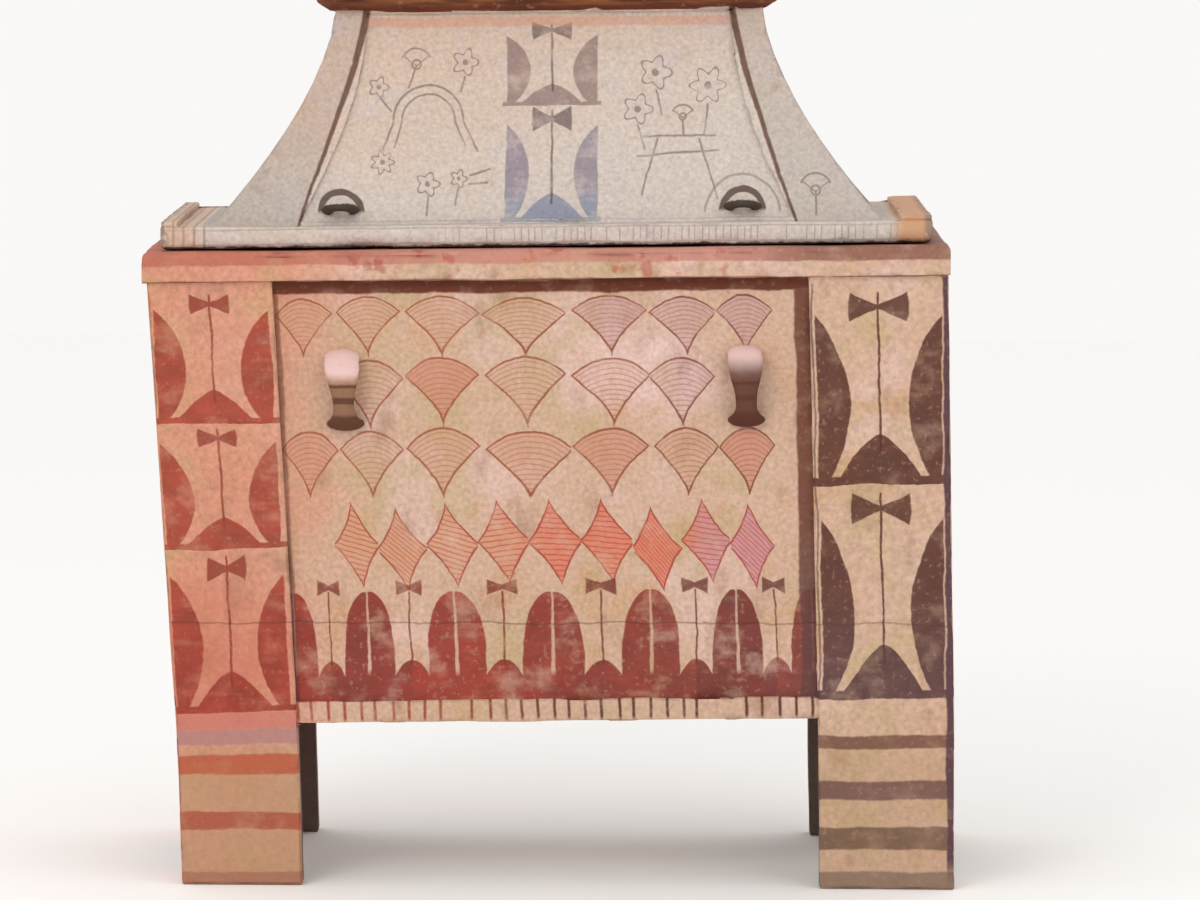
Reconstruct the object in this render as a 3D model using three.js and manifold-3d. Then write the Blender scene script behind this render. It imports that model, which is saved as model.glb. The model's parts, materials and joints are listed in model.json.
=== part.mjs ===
// A painted clay chest on four legs, with a separate roof-shaped lid. Millimetres, +Z up, the front faces -Y.
// The origin is on the floor, under the middle of the box that holds the whole object.
// The chest and the lid are each one piece of fired clay, so each is one solid.
import * as THREE from "three";
import { mergeVertices } from "three/addons/utils/BufferGeometryUtils.js";
import Module from "manifold-3d";

const wasm = await Module();
wasm.setup();

// Chest: sizes of the straight design, before the potter's lean and rise
const CHEST_LENGTH = 1000; // along the rim
const CHEST_DEPTH = 440; // front to back over the corner posts
const CHEST_HEIGHT = 798; // floor to the top of the rim, at mid length
const LEG_HEIGHT = 207; // floor to the underside of the bottom rails
const LEFT_POST = 157; // width of the left corner posts, seen from the front
const RIGHT_POST = 175; // width of the right corner posts, which the potter made broader
const SIDE_POST = 112; // width of the same posts, seen from the ends
const WALL = 28; // clay thickness of the panels
const PANEL_RECESS = 9; // how far the panels lie behind the posts
const RAIL_HEIGHT = 30;
const RAIL_SETBACK = 3; // the rails lie a little behind the posts too
const FLOOR = 30; // clay thickness of the floor
const FLOOR_RAISE = 6; // the floor's underside is this far above the rails' lower edge
const RIM_HEIGHT = 40;
const RIM_ROUND = 7; // rounding of the rim's upper edge
const RIM_SHOULDER = 2.1; // where the rounding turns, in from the edge and down from the top
const RIM_REACH = 6; // how far the rim stands out over the posts, at the front and back
const RIM_REACH_LEFT = 6;
const RIM_REACH_RIGHT = 2;

// How the hand-built clay departs from the straight design
const LEAN_LEFT = 36; // the left end wall leans in by this much towards its foot
const LEAN_LEFT_LEG = 7; // and its legs by this much more
const LEAN_RIGHT = 13; // the right end wall leans out towards its foot
const LEAN_RIGHT_LEG = 3;
const RISE = 16; // the right end stands higher, because its legs are longer, measured over the chest's length

// Vertical loop handles on the chest, two at the front and two at the back
const LEFT_HANDLE_X = -257;
const RIGHT_HANDLE_X = 243;
const HANDLE_Z = 624; // height of the handles' middle
const HANDLE_SPAN = 84; // between the middles of a handle's two roots
const HANDLE_REACH = 30; // from the panel to the middle of the strap
const HANDLE_TOP_WIDTH = 42;
const HANDLE_WAIST_WIDTH = 26;
const HANDLE_FOOT_WIDTH = 46;
const HANDLE_THICKNESS = 15;

// Lid
const LID_GAP = 0.3; // seam between the lid and the rim that it rests on
const LID_INSET = 22; // the lid's flange ends this far inside the rim's edge
const FLANGE_HEIGHT = 29;
const FLANGE_CHAMFER = 5; // along the flange's lower edge
const LEFT_STRIP = 21; // width of the raised strip across the flange's left end
const RIGHT_STRIP = 40; // and across its right end
const STRIP_RISE = 7;
const STRIP_INSET = 1; // the strips' own edge lies this far inside the flange's
const ROOF_HEIGHT = 259; // flange to cap
const ROOF_END_MARGIN = 62; // flange left free at each end of the roof
const ROOF_SIDE_MARGIN = 38; // flange left free at the front and back
const ROOF_TOP_LENGTH = 540;
const ROOF_TOP_DEPTH = 124;
const ROOF_CURVE = 1.55; // power of the roof's hollow curve: 1 is a straight slope
const ROOF_LEVELS = 9;
const LID_WALL = 26; // clay thickness of the recessed fields
const FIELD_RECESS = 6; // how far the fields lie behind the corner strips
const FIELD_SILL = 4; // clay left between a field and the flange below or the cap above
const FIELD_CURVE = 1.2; // power of the curve of the corner strips' inner edges
const STRIP_FOOT = 108; // width of a corner strip at the flange, seen from the front
const STRIP_HEAD = 42; // and at the cap
const END_STRIP_FOOT = 66; // the same seen from the ends
const END_STRIP_HEAD = 26;
const CAP_HEIGHT = 34;
const CAP_REACH = 22; // how far the cap stands out over the roof's top
const CAP_FLARE = 12; // height of the slope under the cap
const CAP_CROWN = 9; // height of the slope on top of the cap
const CAP_CROWN_RUN = 20;

// Small horizontal loops on the lid, straight above the chest's handles
const LUG_RAISE = 16; // height of a lug's middle above the flange
const LUG_SPAN = 32; // between the middles of a lug's two roots
const LUG_REACH = 23; // from the field to the middle of the loop
const LUG_THICKNESS = 12;
const LUG_TILT = THREE.MathUtils.degToRad(14); // upwards from level

// How finely round forms are divided
const LOOP_SIDES = 10;
const LOOP_STEPS = 12;
const ROOT_ANGLE = 0.3; // how far a loop's ends turn past its roots, into the wall, in radians
const CUT_CLEAR = 60; // how far a cut runs out past the clay that it opens

// Places worked out from the sizes
const CHEST_LEFT = -CHEST_LENGTH / 2 + RIM_REACH_LEFT;
const CHEST_RIGHT = CHEST_LENGTH / 2 - RIM_REACH_RIGHT;
const CHEST_FRONT = -CHEST_DEPTH / 2;
const RIM_LOW = CHEST_HEIGHT - RIM_HEIGHT;
const RAIL_TOP = LEG_HEIGHT + RAIL_HEIGHT;
const PANEL_Y = CHEST_FRONT + PANEL_RECESS;
const POST_THICKNESS = WALL + PANEL_RECESS;
const LID_LOW = CHEST_HEIGHT + LID_GAP;
const FLANGE_TOP = LID_LOW + FLANGE_HEIGHT;
const FLANGE_LENGTH = CHEST_LENGTH - 2 * LID_INSET;
const FLANGE_DEPTH = CHEST_DEPTH + 2 * (RIM_REACH - LID_INSET);
const ROOF_TOP = FLANGE_TOP + ROOF_HEIGHT;

/** Puts a point of the straight design where the hand-built clay has it. */
function settle(x, y, z) {
  const inLeg = THREE.MathUtils.clamp(z / LEG_HEIGHT, 0, 1);
  const inWall = THREE.MathUtils.clamp((z - LEG_HEIGHT) / (RIM_LOW - LEG_HEIGHT), 0, 1);
  const left = LEAN_LEFT * (1 - inWall) + LEAN_LEFT_LEG * (1 - inLeg);
  const right = LEAN_RIGHT * (1 - inWall) + LEAN_RIGHT_LEG * (1 - inLeg);
  const across = x / CHEST_LENGTH;
  return [x + left * (0.5 - across) + right * (0.5 + across), y, z + RISE * across * inLeg];
}

/** Moves every vertex of a geometry by a rule that takes and gives x, y and z. */
function moved(geometry, rule) {
  const place = geometry.getAttribute("position");
  for (let i = 0; i < place.count; i++) {
    place.setXYZ(i, ...rule(place.getX(i), place.getY(i), place.getZ(i)));
  }
  return geometry;
}

/** A closed solid from a three.js geometry. */
function solid(geometry) {
  geometry.deleteAttribute("normal");
  geometry.deleteAttribute("uv");
  const merged = mergeVertices(geometry);
  const mesh = new wasm.Mesh({
    numProp: 3,
    vertProperties: new Float32Array(merged.getAttribute("position").array),
    triVerts: new Uint32Array(merged.getIndex().array),
  });
  mesh.merge();
  return new wasm.Manifold(mesh);
}

/** A stack of rectangles, lowest first, joined by flat faces: a box whose levels have their own sizes. */
function stack(levels) {
  const steps = levels.length - 1;
  const box = new THREE.BoxGeometry(1, 1, steps, 1, 1, steps);
  const shaped = moved(box, (x, y, z) => {
    const here = levels[Math.round(z + steps / 2)];
    return settle(x < 0 ? here.left : here.right, y < 0 ? here.front : here.back, here.z);
  });
  return solid(shaped);
}

/** One level of a stack, the same distance in from the four edges of a plan. */
function level(z, plan, inset = 0) {
  return {
    z,
    left: plan.left + inset,
    right: plan.right - inset,
    front: plan.front + inset,
    back: plan.back - inset,
  };
}

/** An upright block of the straight design, with a level at each of the given heights. */
function block(plan, heights) {
  return stack(heights.map((z) => level(z, plan)));
}

/**
 * A loop handle: a closed cylinder bent into an arch. root is the middle between its two roots, along runs from
 * the first root to the second, out points away from the wall, and width gives the strap's width at 0 to 1.
 */
function loop({ root, along, out, span, reach, width, thickness }) {
  const across = new THREE.Vector3().crossVectors(out, along);
  const bar = new THREE.CylinderGeometry(0.5, 0.5, 1, LOOP_SIDES, LOOP_STEPS);
  const bent = moved(bar, (x, y, z) => {
    const s = y + 0.5;
    const turn = THREE.MathUtils.lerp(-ROOT_ANGLE, Math.PI + ROOT_ANGLE, s);
    const radial = new THREE.Vector3()
      .addScaledVector(along, -Math.cos(turn) * reach)
      .addScaledVector(out, Math.sin(turn) * (span / 2))
      .normalize();
    const point = root.clone()
      .addScaledVector(along, -Math.cos(turn) * (span / 2))
      .addScaledVector(out, Math.sin(turn) * reach)
      .addScaledVector(radial, x * thickness)
      .addScaledVector(across, z * width(s));
    return settle(point.x, point.y, point.z);
  });
  return solid(bent);
}

/** A stack turned half round the middle of the depth, for what the back repeats of the front. */
function atBack(levels) {
  return stack(levels.map((one) => ({ ...one, front: -one.back, back: -one.front })));
}

/** The chest's outer clay: thin walls, corner posts with their legs, bottom rails and rim. */
function chestOutside() {
  const body = { left: CHEST_LEFT, right: CHEST_RIGHT, front: CHEST_FRONT, back: -CHEST_FRONT };
  const overlapTop = CHEST_HEIGHT - RIM_ROUND;
  const wallFoot = (LEG_HEIGHT + RAIL_TOP) / 2;
  let clay = stack([
    level(wallFoot, body, PANEL_RECESS),
    level(RIM_LOW, body, PANEL_RECESS),
    level(overlapTop, body, PANEL_RECESS),
  ]);
  clay = clay.add(stack([level(LEG_HEIGHT, body, RAIL_SETBACK), level(RAIL_TOP, body, RAIL_SETBACK)]));

  const sides = [
    { left: CHEST_LEFT, right: CHEST_LEFT + LEFT_POST },
    { left: CHEST_RIGHT - RIGHT_POST, right: CHEST_RIGHT },
  ];
  for (const side of sides) {
    for (const front of [CHEST_FRONT, -CHEST_FRONT - SIDE_POST]) {
      const plan = { ...side, front, back: front + SIDE_POST };
      clay = clay.add(block(plan, [0, LEG_HEIGHT, RIM_LOW, overlapTop]));
    }
  }

  const rim = {
    left: CHEST_LEFT - RIM_REACH_LEFT,
    right: CHEST_RIGHT + RIM_REACH_RIGHT,
    front: CHEST_FRONT - RIM_REACH,
    back: RIM_REACH - CHEST_FRONT,
  };
  return clay.add(stack([
    level(RIM_LOW, rim),
    level(CHEST_HEIGHT - RIM_ROUND, rim),
    level(CHEST_HEIGHT - RIM_SHOULDER, rim, RIM_SHOULDER),
    level(CHEST_HEIGHT, rim, RIM_ROUND),
  ]));
}

/** The strap's width along a chest handle, from its foot at 0 to its top at 1. */
function handleWidth(s) {
  const waist = 0.42;
  const end = s < waist ? HANDLE_FOOT_WIDTH : HANDLE_TOP_WIDTH;
  const off = s < waist ? (waist - s) / waist : (s - waist) / (1 - waist);
  return THREE.MathUtils.lerp(HANDLE_WAIST_WIDTH, end, THREE.MathUtils.smoothstep(off, 0, 0.8));
}

/** One solid for the chest: hollow and open above, with legs that are corners of two boards. */
function chest() {
  const inside = {
    left: CHEST_LEFT + POST_THICKNESS,
    right: CHEST_RIGHT - POST_THICKNESS,
    front: CHEST_FRONT + POST_THICKNESS,
    back: -CHEST_FRONT - POST_THICKNESS,
  };
  const underside = LEG_HEIGHT + FLOOR_RAISE;
  let clay = chestOutside()
    .subtract(block(inside, [-CUT_CLEAR, 0, LEG_HEIGHT, underside]))
    .subtract(block(inside, [underside + FLOOR, RIM_LOW, CHEST_HEIGHT + CUT_CLEAR]));

  for (const x of [LEFT_HANDLE_X, RIGHT_HANDLE_X]) {
    for (const facing of [-1, 1]) {
      clay = clay.add(loop({
        root: new THREE.Vector3(x, -facing * PANEL_Y, HANDLE_Z),
        along: new THREE.Vector3(0, 0, 1),
        out: new THREE.Vector3(0, facing, 0),
        span: HANDLE_SPAN,
        reach: HANDLE_REACH,
        width: handleWidth,
        thickness: HANDLE_THICKNESS,
      }));
    }
  }
  return clay;
}

/** How far out the hollow-curved roof still is at a share t of its height: 1 at the flange, 0 at the cap. */
function spread(t, power) {
  return Math.pow(1 - t, power);
}

/** Half of the roof's length and depth at a share t of its height. */
function roofHalf(t) {
  const foot = { x: FLANGE_LENGTH / 2 - ROOF_END_MARGIN, y: FLANGE_DEPTH / 2 - ROOF_SIDE_MARGIN };
  return {
    x: THREE.MathUtils.lerp(ROOF_TOP_LENGTH / 2, foot.x, spread(t, ROOF_CURVE)),
    y: THREE.MathUtils.lerp(ROOF_TOP_DEPTH / 2, foot.y, spread(t, ROOF_CURVE)),
  };
}

/** Levels of the roof from a share of its height to another, each made by a rule from t and the height z. */
function roofLevels(from, to, rule) {
  return Array.from({ length: ROOF_LEVELS + 1 }, (_, i) => {
    const t = THREE.MathUtils.lerp(from, to, i / ROOF_LEVELS);
    return rule(t, FLANGE_TOP + t * ROOF_HEIGHT);
  });
}

/** A level of the roof that is drawn in by the same distance on all four sides. */
function roofLevel(t, z, inset) {
  const half = roofHalf(t);
  return level(z, { left: -half.x, right: half.x, front: -half.y, back: half.y }, inset);
}

/** Cuts one recessed field into each of the roof's four sides, between its corner strips. */
function withFields(roof) {
  const from = FIELD_SILL / ROOF_HEIGHT;
  const to = 1 - from;
  const side = roofLevels(from, to, (t, z) => {
    const strip = THREE.MathUtils.lerp(STRIP_HEAD, STRIP_FOOT, spread(t, FIELD_CURVE));
    const half = roofHalf(t);
    const edge = half.x - strip;
    return { z, left: -edge, right: edge, front: -FLANGE_DEPTH, back: FIELD_RECESS - half.y };
  });
  const end = roofLevels(from, to, (t, z) => {
    const strip = THREE.MathUtils.lerp(END_STRIP_HEAD, END_STRIP_FOOT, spread(t, FIELD_CURVE));
    const half = roofHalf(t);
    const edge = half.y - strip;
    return { z, left: -FLANGE_LENGTH, right: FIELD_RECESS - half.x, front: -edge, back: edge };
  });
  const otherEnd = end.map((one) => ({ ...one, left: -one.right, right: -one.left }));
  return roof.subtract(stack(side)).subtract(atBack(side)).subtract(stack(end)).subtract(stack(otherEnd));
}

/** The flat flange that lies on the rim, with a raised strip across each end. */
function flange() {
  const plan = {
    left: -FLANGE_LENGTH / 2,
    right: FLANGE_LENGTH / 2,
    front: -FLANGE_DEPTH / 2,
    back: FLANGE_DEPTH / 2,
  };
  const slab = stack([
    level(LID_LOW, plan, FLANGE_CHAMFER),
    level(LID_LOW + FLANGE_CHAMFER, plan),
    level(FLANGE_TOP, plan),
  ]);
  const heights = [LID_LOW + FLANGE_CHAMFER + STRIP_INSET, FLANGE_TOP + STRIP_RISE];
  const strip = level(0, plan, STRIP_INSET);
  return slab
    .add(block({ ...strip, right: strip.left + LEFT_STRIP }, heights))
    .add(block({ ...strip, left: strip.right - RIGHT_STRIP }, heights));
}

/** The cap slab along the roof's top. */
function cap() {
  const top = ROOF_TOP + CAP_HEIGHT;
  return stack([
    roofLevel(1, ROOF_TOP - FIELD_SILL / 2, -STRIP_INSET),
    roofLevel(1, ROOF_TOP + CAP_FLARE, -CAP_REACH),
    roofLevel(1, top - CAP_CROWN, -CAP_REACH),
    roofLevel(1, top, CAP_CROWN_RUN - CAP_REACH),
  ]);
}

/** One solid for the lid: hollow underneath, with four small loops. */
function lid() {
  const outside = roofLevels(0, 1, (t, z) => roofLevel(t, z, 0));
  const roots = { ...outside[0], z: FLANGE_TOP - FLANGE_HEIGHT / 2 };
  const wall = LID_WALL + FIELD_RECESS;
  const hollowTop = 1 - LID_WALL / ROOF_HEIGHT;
  const hollow = roofLevels(0, hollowTop, (t, z) => roofLevel(t, z, wall));
  const mouth = { ...hollow[0], z: LID_LOW - CUT_CLEAR };
  let clay = withFields(stack([roots, ...outside]))
    .add(flange())
    .add(cap())
    .subtract(stack([mouth, ...hollow]));

  const fieldY = roofHalf(LUG_RAISE / ROOF_HEIGHT).y - FIELD_RECESS;
  for (const x of [LEFT_HANDLE_X, RIGHT_HANDLE_X]) {
    for (const facing of [-1, 1]) {
      clay = clay.add(loop({
        root: new THREE.Vector3(x, facing * fieldY, FLANGE_TOP + LUG_RAISE),
        along: new THREE.Vector3(1, 0, 0),
        out: new THREE.Vector3(0, facing * Math.cos(LUG_TILT), Math.sin(LUG_TILT)),
        span: LUG_SPAN,
        reach: LUG_REACH,
        width: () => LUG_THICKNESS,
        thickness: LUG_THICKNESS,
      }));
    }
  }
  return clay;
}

/** A named mesh of a solid. */
function piece(name, clay, color) {
  const { vertProperties, triVerts } = clay.getMesh();
  const geometry = new THREE.BufferGeometry();
  geometry.setAttribute("position", new THREE.BufferAttribute(vertProperties, 3));
  geometry.setIndex(new THREE.BufferAttribute(triVerts, 1));
  geometry.computeVertexNormals();
  const mesh = new THREE.Mesh(geometry, new THREE.MeshStandardMaterial({ color, roughness: 0.85, metalness: 0 }));
  mesh.name = name;
  return mesh;
}

const larnax = new THREE.Group();
larnax.add(piece("chest", chest(), 0xd8a07a));
larnax.add(piece("lid", lid(), 0xd9cec0));

// The rim's left end and the right feet reach furthest along X, so the origin is midway between them
const reachLeft = settle(CHEST_LEFT - RIM_REACH_LEFT, 0, RIM_LOW)[0];
const reachRight = Math.max(
  settle(CHEST_RIGHT, 0, 0)[0],
  settle(CHEST_RIGHT + RIM_REACH_RIGHT, 0, RIM_LOW)[0],
);
larnax.position.x = -(reachLeft + reachRight) / 2;

export default larnax;
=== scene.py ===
# %% [markdown]
# A painted clay chest with a roof-shaped lid
# The object is a larnax: a fired-clay chest on four legs, with a hollow clay lid like a hipped roof.
# Both pieces were built up from slabs, covered with pale slip, and painted in red and brown before
# firing.
# The frame gives the two clay bodies at their real size. Worn edges, chips, an uneven hand-made
# surface, handles and paint could be added by sculpting and painting by hand, but rules are used here,
# because a rule can be read and changed. Nothing is moved or resized.

# %% Load the frame
import json
import math

import bmesh
import bpy
from mathutils import Matrix, Vector, noise

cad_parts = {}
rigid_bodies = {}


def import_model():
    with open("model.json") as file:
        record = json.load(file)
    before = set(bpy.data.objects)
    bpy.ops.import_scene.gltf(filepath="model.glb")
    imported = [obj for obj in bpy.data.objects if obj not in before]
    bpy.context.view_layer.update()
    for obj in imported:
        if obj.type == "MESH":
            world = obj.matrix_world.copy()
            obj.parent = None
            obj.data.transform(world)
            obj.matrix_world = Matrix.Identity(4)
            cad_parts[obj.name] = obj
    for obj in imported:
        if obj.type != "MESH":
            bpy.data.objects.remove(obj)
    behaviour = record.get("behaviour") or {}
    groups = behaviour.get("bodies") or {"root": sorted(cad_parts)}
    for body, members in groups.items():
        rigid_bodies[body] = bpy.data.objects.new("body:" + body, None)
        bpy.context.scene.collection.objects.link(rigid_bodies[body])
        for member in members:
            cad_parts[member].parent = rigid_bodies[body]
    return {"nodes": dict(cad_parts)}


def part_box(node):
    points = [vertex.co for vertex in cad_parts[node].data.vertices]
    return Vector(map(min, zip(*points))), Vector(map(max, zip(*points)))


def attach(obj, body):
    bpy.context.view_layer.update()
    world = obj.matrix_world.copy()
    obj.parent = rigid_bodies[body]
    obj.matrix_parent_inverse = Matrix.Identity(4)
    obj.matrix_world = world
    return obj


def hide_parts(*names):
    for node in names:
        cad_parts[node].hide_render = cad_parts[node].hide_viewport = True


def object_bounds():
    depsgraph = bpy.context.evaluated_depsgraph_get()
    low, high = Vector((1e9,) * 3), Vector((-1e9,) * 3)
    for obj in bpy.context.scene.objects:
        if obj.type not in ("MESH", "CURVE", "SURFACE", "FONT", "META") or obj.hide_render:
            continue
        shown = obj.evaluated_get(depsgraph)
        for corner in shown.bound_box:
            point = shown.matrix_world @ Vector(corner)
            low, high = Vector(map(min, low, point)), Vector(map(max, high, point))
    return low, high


bpy.ops.object.select_all(action="SELECT")
bpy.ops.object.delete()
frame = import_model()
cad_low, cad_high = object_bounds()
chest_low, chest_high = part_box("chest")
lid_low, lid_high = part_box("lid")
print("chest", tuple(chest_low), tuple(chest_high))
print("lid", tuple(lid_low), tuple(lid_high))

# %% [markdown]
# The clay has a few lengths that the boxes of its two pieces don't tell, such as the width of a post.
# They could be measured on the mesh, but it is plainer to write them here once, in metres.
# The potter's chest isn't square: its left wall leans in, and its right end stands higher. The paint
# follows the clay, so one rule takes a point back to the straight design that the painter had in mind.

# %% Sizes of the straight design
MM = 0.001
LENGTH = 1.0  # the chest's rim
MIDDLE = cad_low.x + LENGTH / 2  # of the rim, whose left end is the lowest X
DEPTH = 0.44  # over the corner posts
LEG = 0.207  # height of the legs
RIM_LOW = 0.758
PANEL_LOW = 0.237
PANEL_Y = DEPTH / 2 - 9 * MM  # the panels lie behind the posts
LEFT_EDGE, RIGHT_EDGE = -0.494, 0.498  # outer faces of the posts, from the middle of the rim
PANEL_LEFT, PANEL_RIGHT = -0.337, 0.323  # inner edges of the posts
FLANGE_TOP = 0.8273
ROOF_TOP = FLANGE_TOP + 0.259
ROOF_TOP_DEPTH, ROOF_FLARE_DEPTH = 0.062, 0.104  # half depth at the cap, and what the flange has more
ROOF_TOP_LENGTH, ROOF_FLARE_LENGTH = 0.254, 0.146  # the same along the lid
ROOF_CURVE = 1.55
FIELD_TOP, FIELD_FLARE, FIELD_CURVE = 0.229, 0.080, 1.2  # half length of the field between the corner strips
FIELD_RECESS = 6 * MM
LEAN_LEFT, LEAN_LEFT_LEG, LEAN_RIGHT, LEAN_RIGHT_LEG, RISE = 0.036, 0.007, 0.013, 0.003, 0.016
HANDLE_XS = (-0.257, 0.243)
HANDLE_Z = 0.624
HANDLE_SPAN, HANDLE_REACH = 0.084, 0.030
LUG_Z = FLANGE_TOP + 0.016
LUG_SPAN, LUG_REACH, LUG_TILT = 0.032, 0.023, math.radians(14)


def settle(x, z):
    """Puts a point of the straight design where the uneven clay has it, in the row frame."""
    in_leg = min(max(z / LEG, 0), 1)
    in_wall = min(max((z - LEG) / (RIM_LOW - LEG), 0), 1)
    left = LEAN_LEFT * (1 - in_wall) + LEAN_LEFT_LEG * (1 - in_leg)
    right = LEAN_RIGHT * (1 - in_wall) + LEAN_RIGHT_LEG * (1 - in_leg)
    across = x / LENGTH
    return x + left * (0.5 - across) + right * (0.5 + across) + MIDDLE, z + RISE * across * in_leg


def below_cap(z):
    """How far a height is below the cap: 1 at the flange and 0 at the cap."""
    return 1 - min(max((z - FLANGE_TOP) / (ROOF_TOP - FLANGE_TOP), 0), 1)


def roof_half_depth(z):
    """Half of the roof's depth at a height, measured to its corner strips."""
    return ROOF_TOP_DEPTH + ROOF_FLARE_DEPTH * below_cap(z) ** ROOF_CURVE


print("middle of the rim at x", round(MIDDLE, 4))
print("outer corner of the left foot at x", round(settle(LEFT_EDGE, 0)[0], 4))

# %% [markdown]
# A finish is a tree of nodes. It could be joined by hand in the shader editor, or with a line of code
# for each node, but long chains of Math nodes are hard to read. Here a small class wraps a socket and
# overloads the arithmetic, so that an expression on values adds its own nodes.

# %% Sockets with arithmetic
class Value:
    """A number that varies over the surface, as a node's output socket."""

    def __init__(self, finish, socket):
        self.finish, self.socket = finish, socket

    def math(self, operation, *others):
        return self.finish.node("ShaderNodeMath", {"operation": operation}, dict(enumerate((self, *others))))

    def __add__(self, other):
        return self.math("ADD", other)

    def __sub__(self, other):
        return self.math("SUBTRACT", other)

    def __rsub__(self, other):
        return self.finish.node("ShaderNodeMath", {"operation": "SUBTRACT"}, {0: other, 1: self})

    def __mul__(self, other):
        return self.math("MULTIPLY", other)

    def __truediv__(self, other):
        return self.math("DIVIDE", other)

    def __neg__(self):
        return self * -1

    def __pow__(self, power):
        return self.math("POWER", power)

    def __abs__(self):
        return self.math("ABSOLUTE")

    __radd__, __rmul__ = __add__, __mul__


print("values can be added, subtracted, multiplied, divided, negated and raised to a power")

# %% [markdown]
# A painted area is a mask: 1 where the brush went and 0 elsewhere. It could be a picture, but a rule on
# distance stays sharp at any size. The helpers below turn a distance into a mask with a soft edge, and
# join masks.

# %% Masks
SOFT_EDGE = 0.9  # half the width over which a brush stroke's edge fades, in millimetres


def least(a, b):
    return a.math("MINIMUM", b)


def most(a, b):
    return a.math("MAXIMUM", b)


def fraction(a):
    return a.math("FRACT")


def whole(a):
    return a.math("FLOOR")


def positive(a):
    return most(a, 0)


def ramp(a, low, high, smooth=True):
    """0 where a is at low and 1 where it is at high, which may be the lower number of the two."""
    settings = {"interpolation_type": "SMOOTHSTEP" if smooth else "LINEAR", "clamp": True}
    return a.finish.node("ShaderNodeMapRange", settings, {"Value": a, "From Min": low, "From Max": high})


def inside(distance, soft=SOFT_EDGE):
    """1 where a distance in millimetres is below zero, with a soft edge."""
    return ramp(distance, soft, -soft)


def both(*masks):
    """Where all the masks are, as their product."""
    product = masks[0]
    for mask in masks[1:]:
        product = product * mask
    return product


def either(*masks):
    """Where any of the masks is, as the largest of them."""
    joined = masks[0]
    for mask in masks[1:]:
        joined = most(joined, mask)
    return joined


print("an edge fades over", 2 * SOFT_EDGE, "mm")

# %% [markdown]
# Colours are easiest to compare with the real thing as chart numbers from 0 to 255. The shader works
# with light, for which such numbers have to be raised to a power. One function does it, so that each
# colour below stays readable.

# %% Colours from a painter's chart
GAMMA = 2.2


def rgb(red, green, blue):
    """A colour as a painter's chart gives it, 0 to 255, in the linear numbers that a shader uses."""
    return tuple((c / 255) ** GAMMA for c in (red, green, blue)) + (1.0,)


print("a middle grey of 128 is", round(rgb(128, 128, 128)[0], 3), "in the shader")

# %% [markdown]
# Every finish of this chest has the same build: a place, some clouds of noise, colours laid over each
# other, a roughness and a fine relief. Each material could repeat those nodes, but one class makes them
# once. Its place is already taken back to the straight design, so that stripes lean with the wall as
# they do on the real chest.

# %% One finish
CLAY_SHEEN = 0.35  # less than the shader's 0.5, because fired clay has no film of glaze


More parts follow.
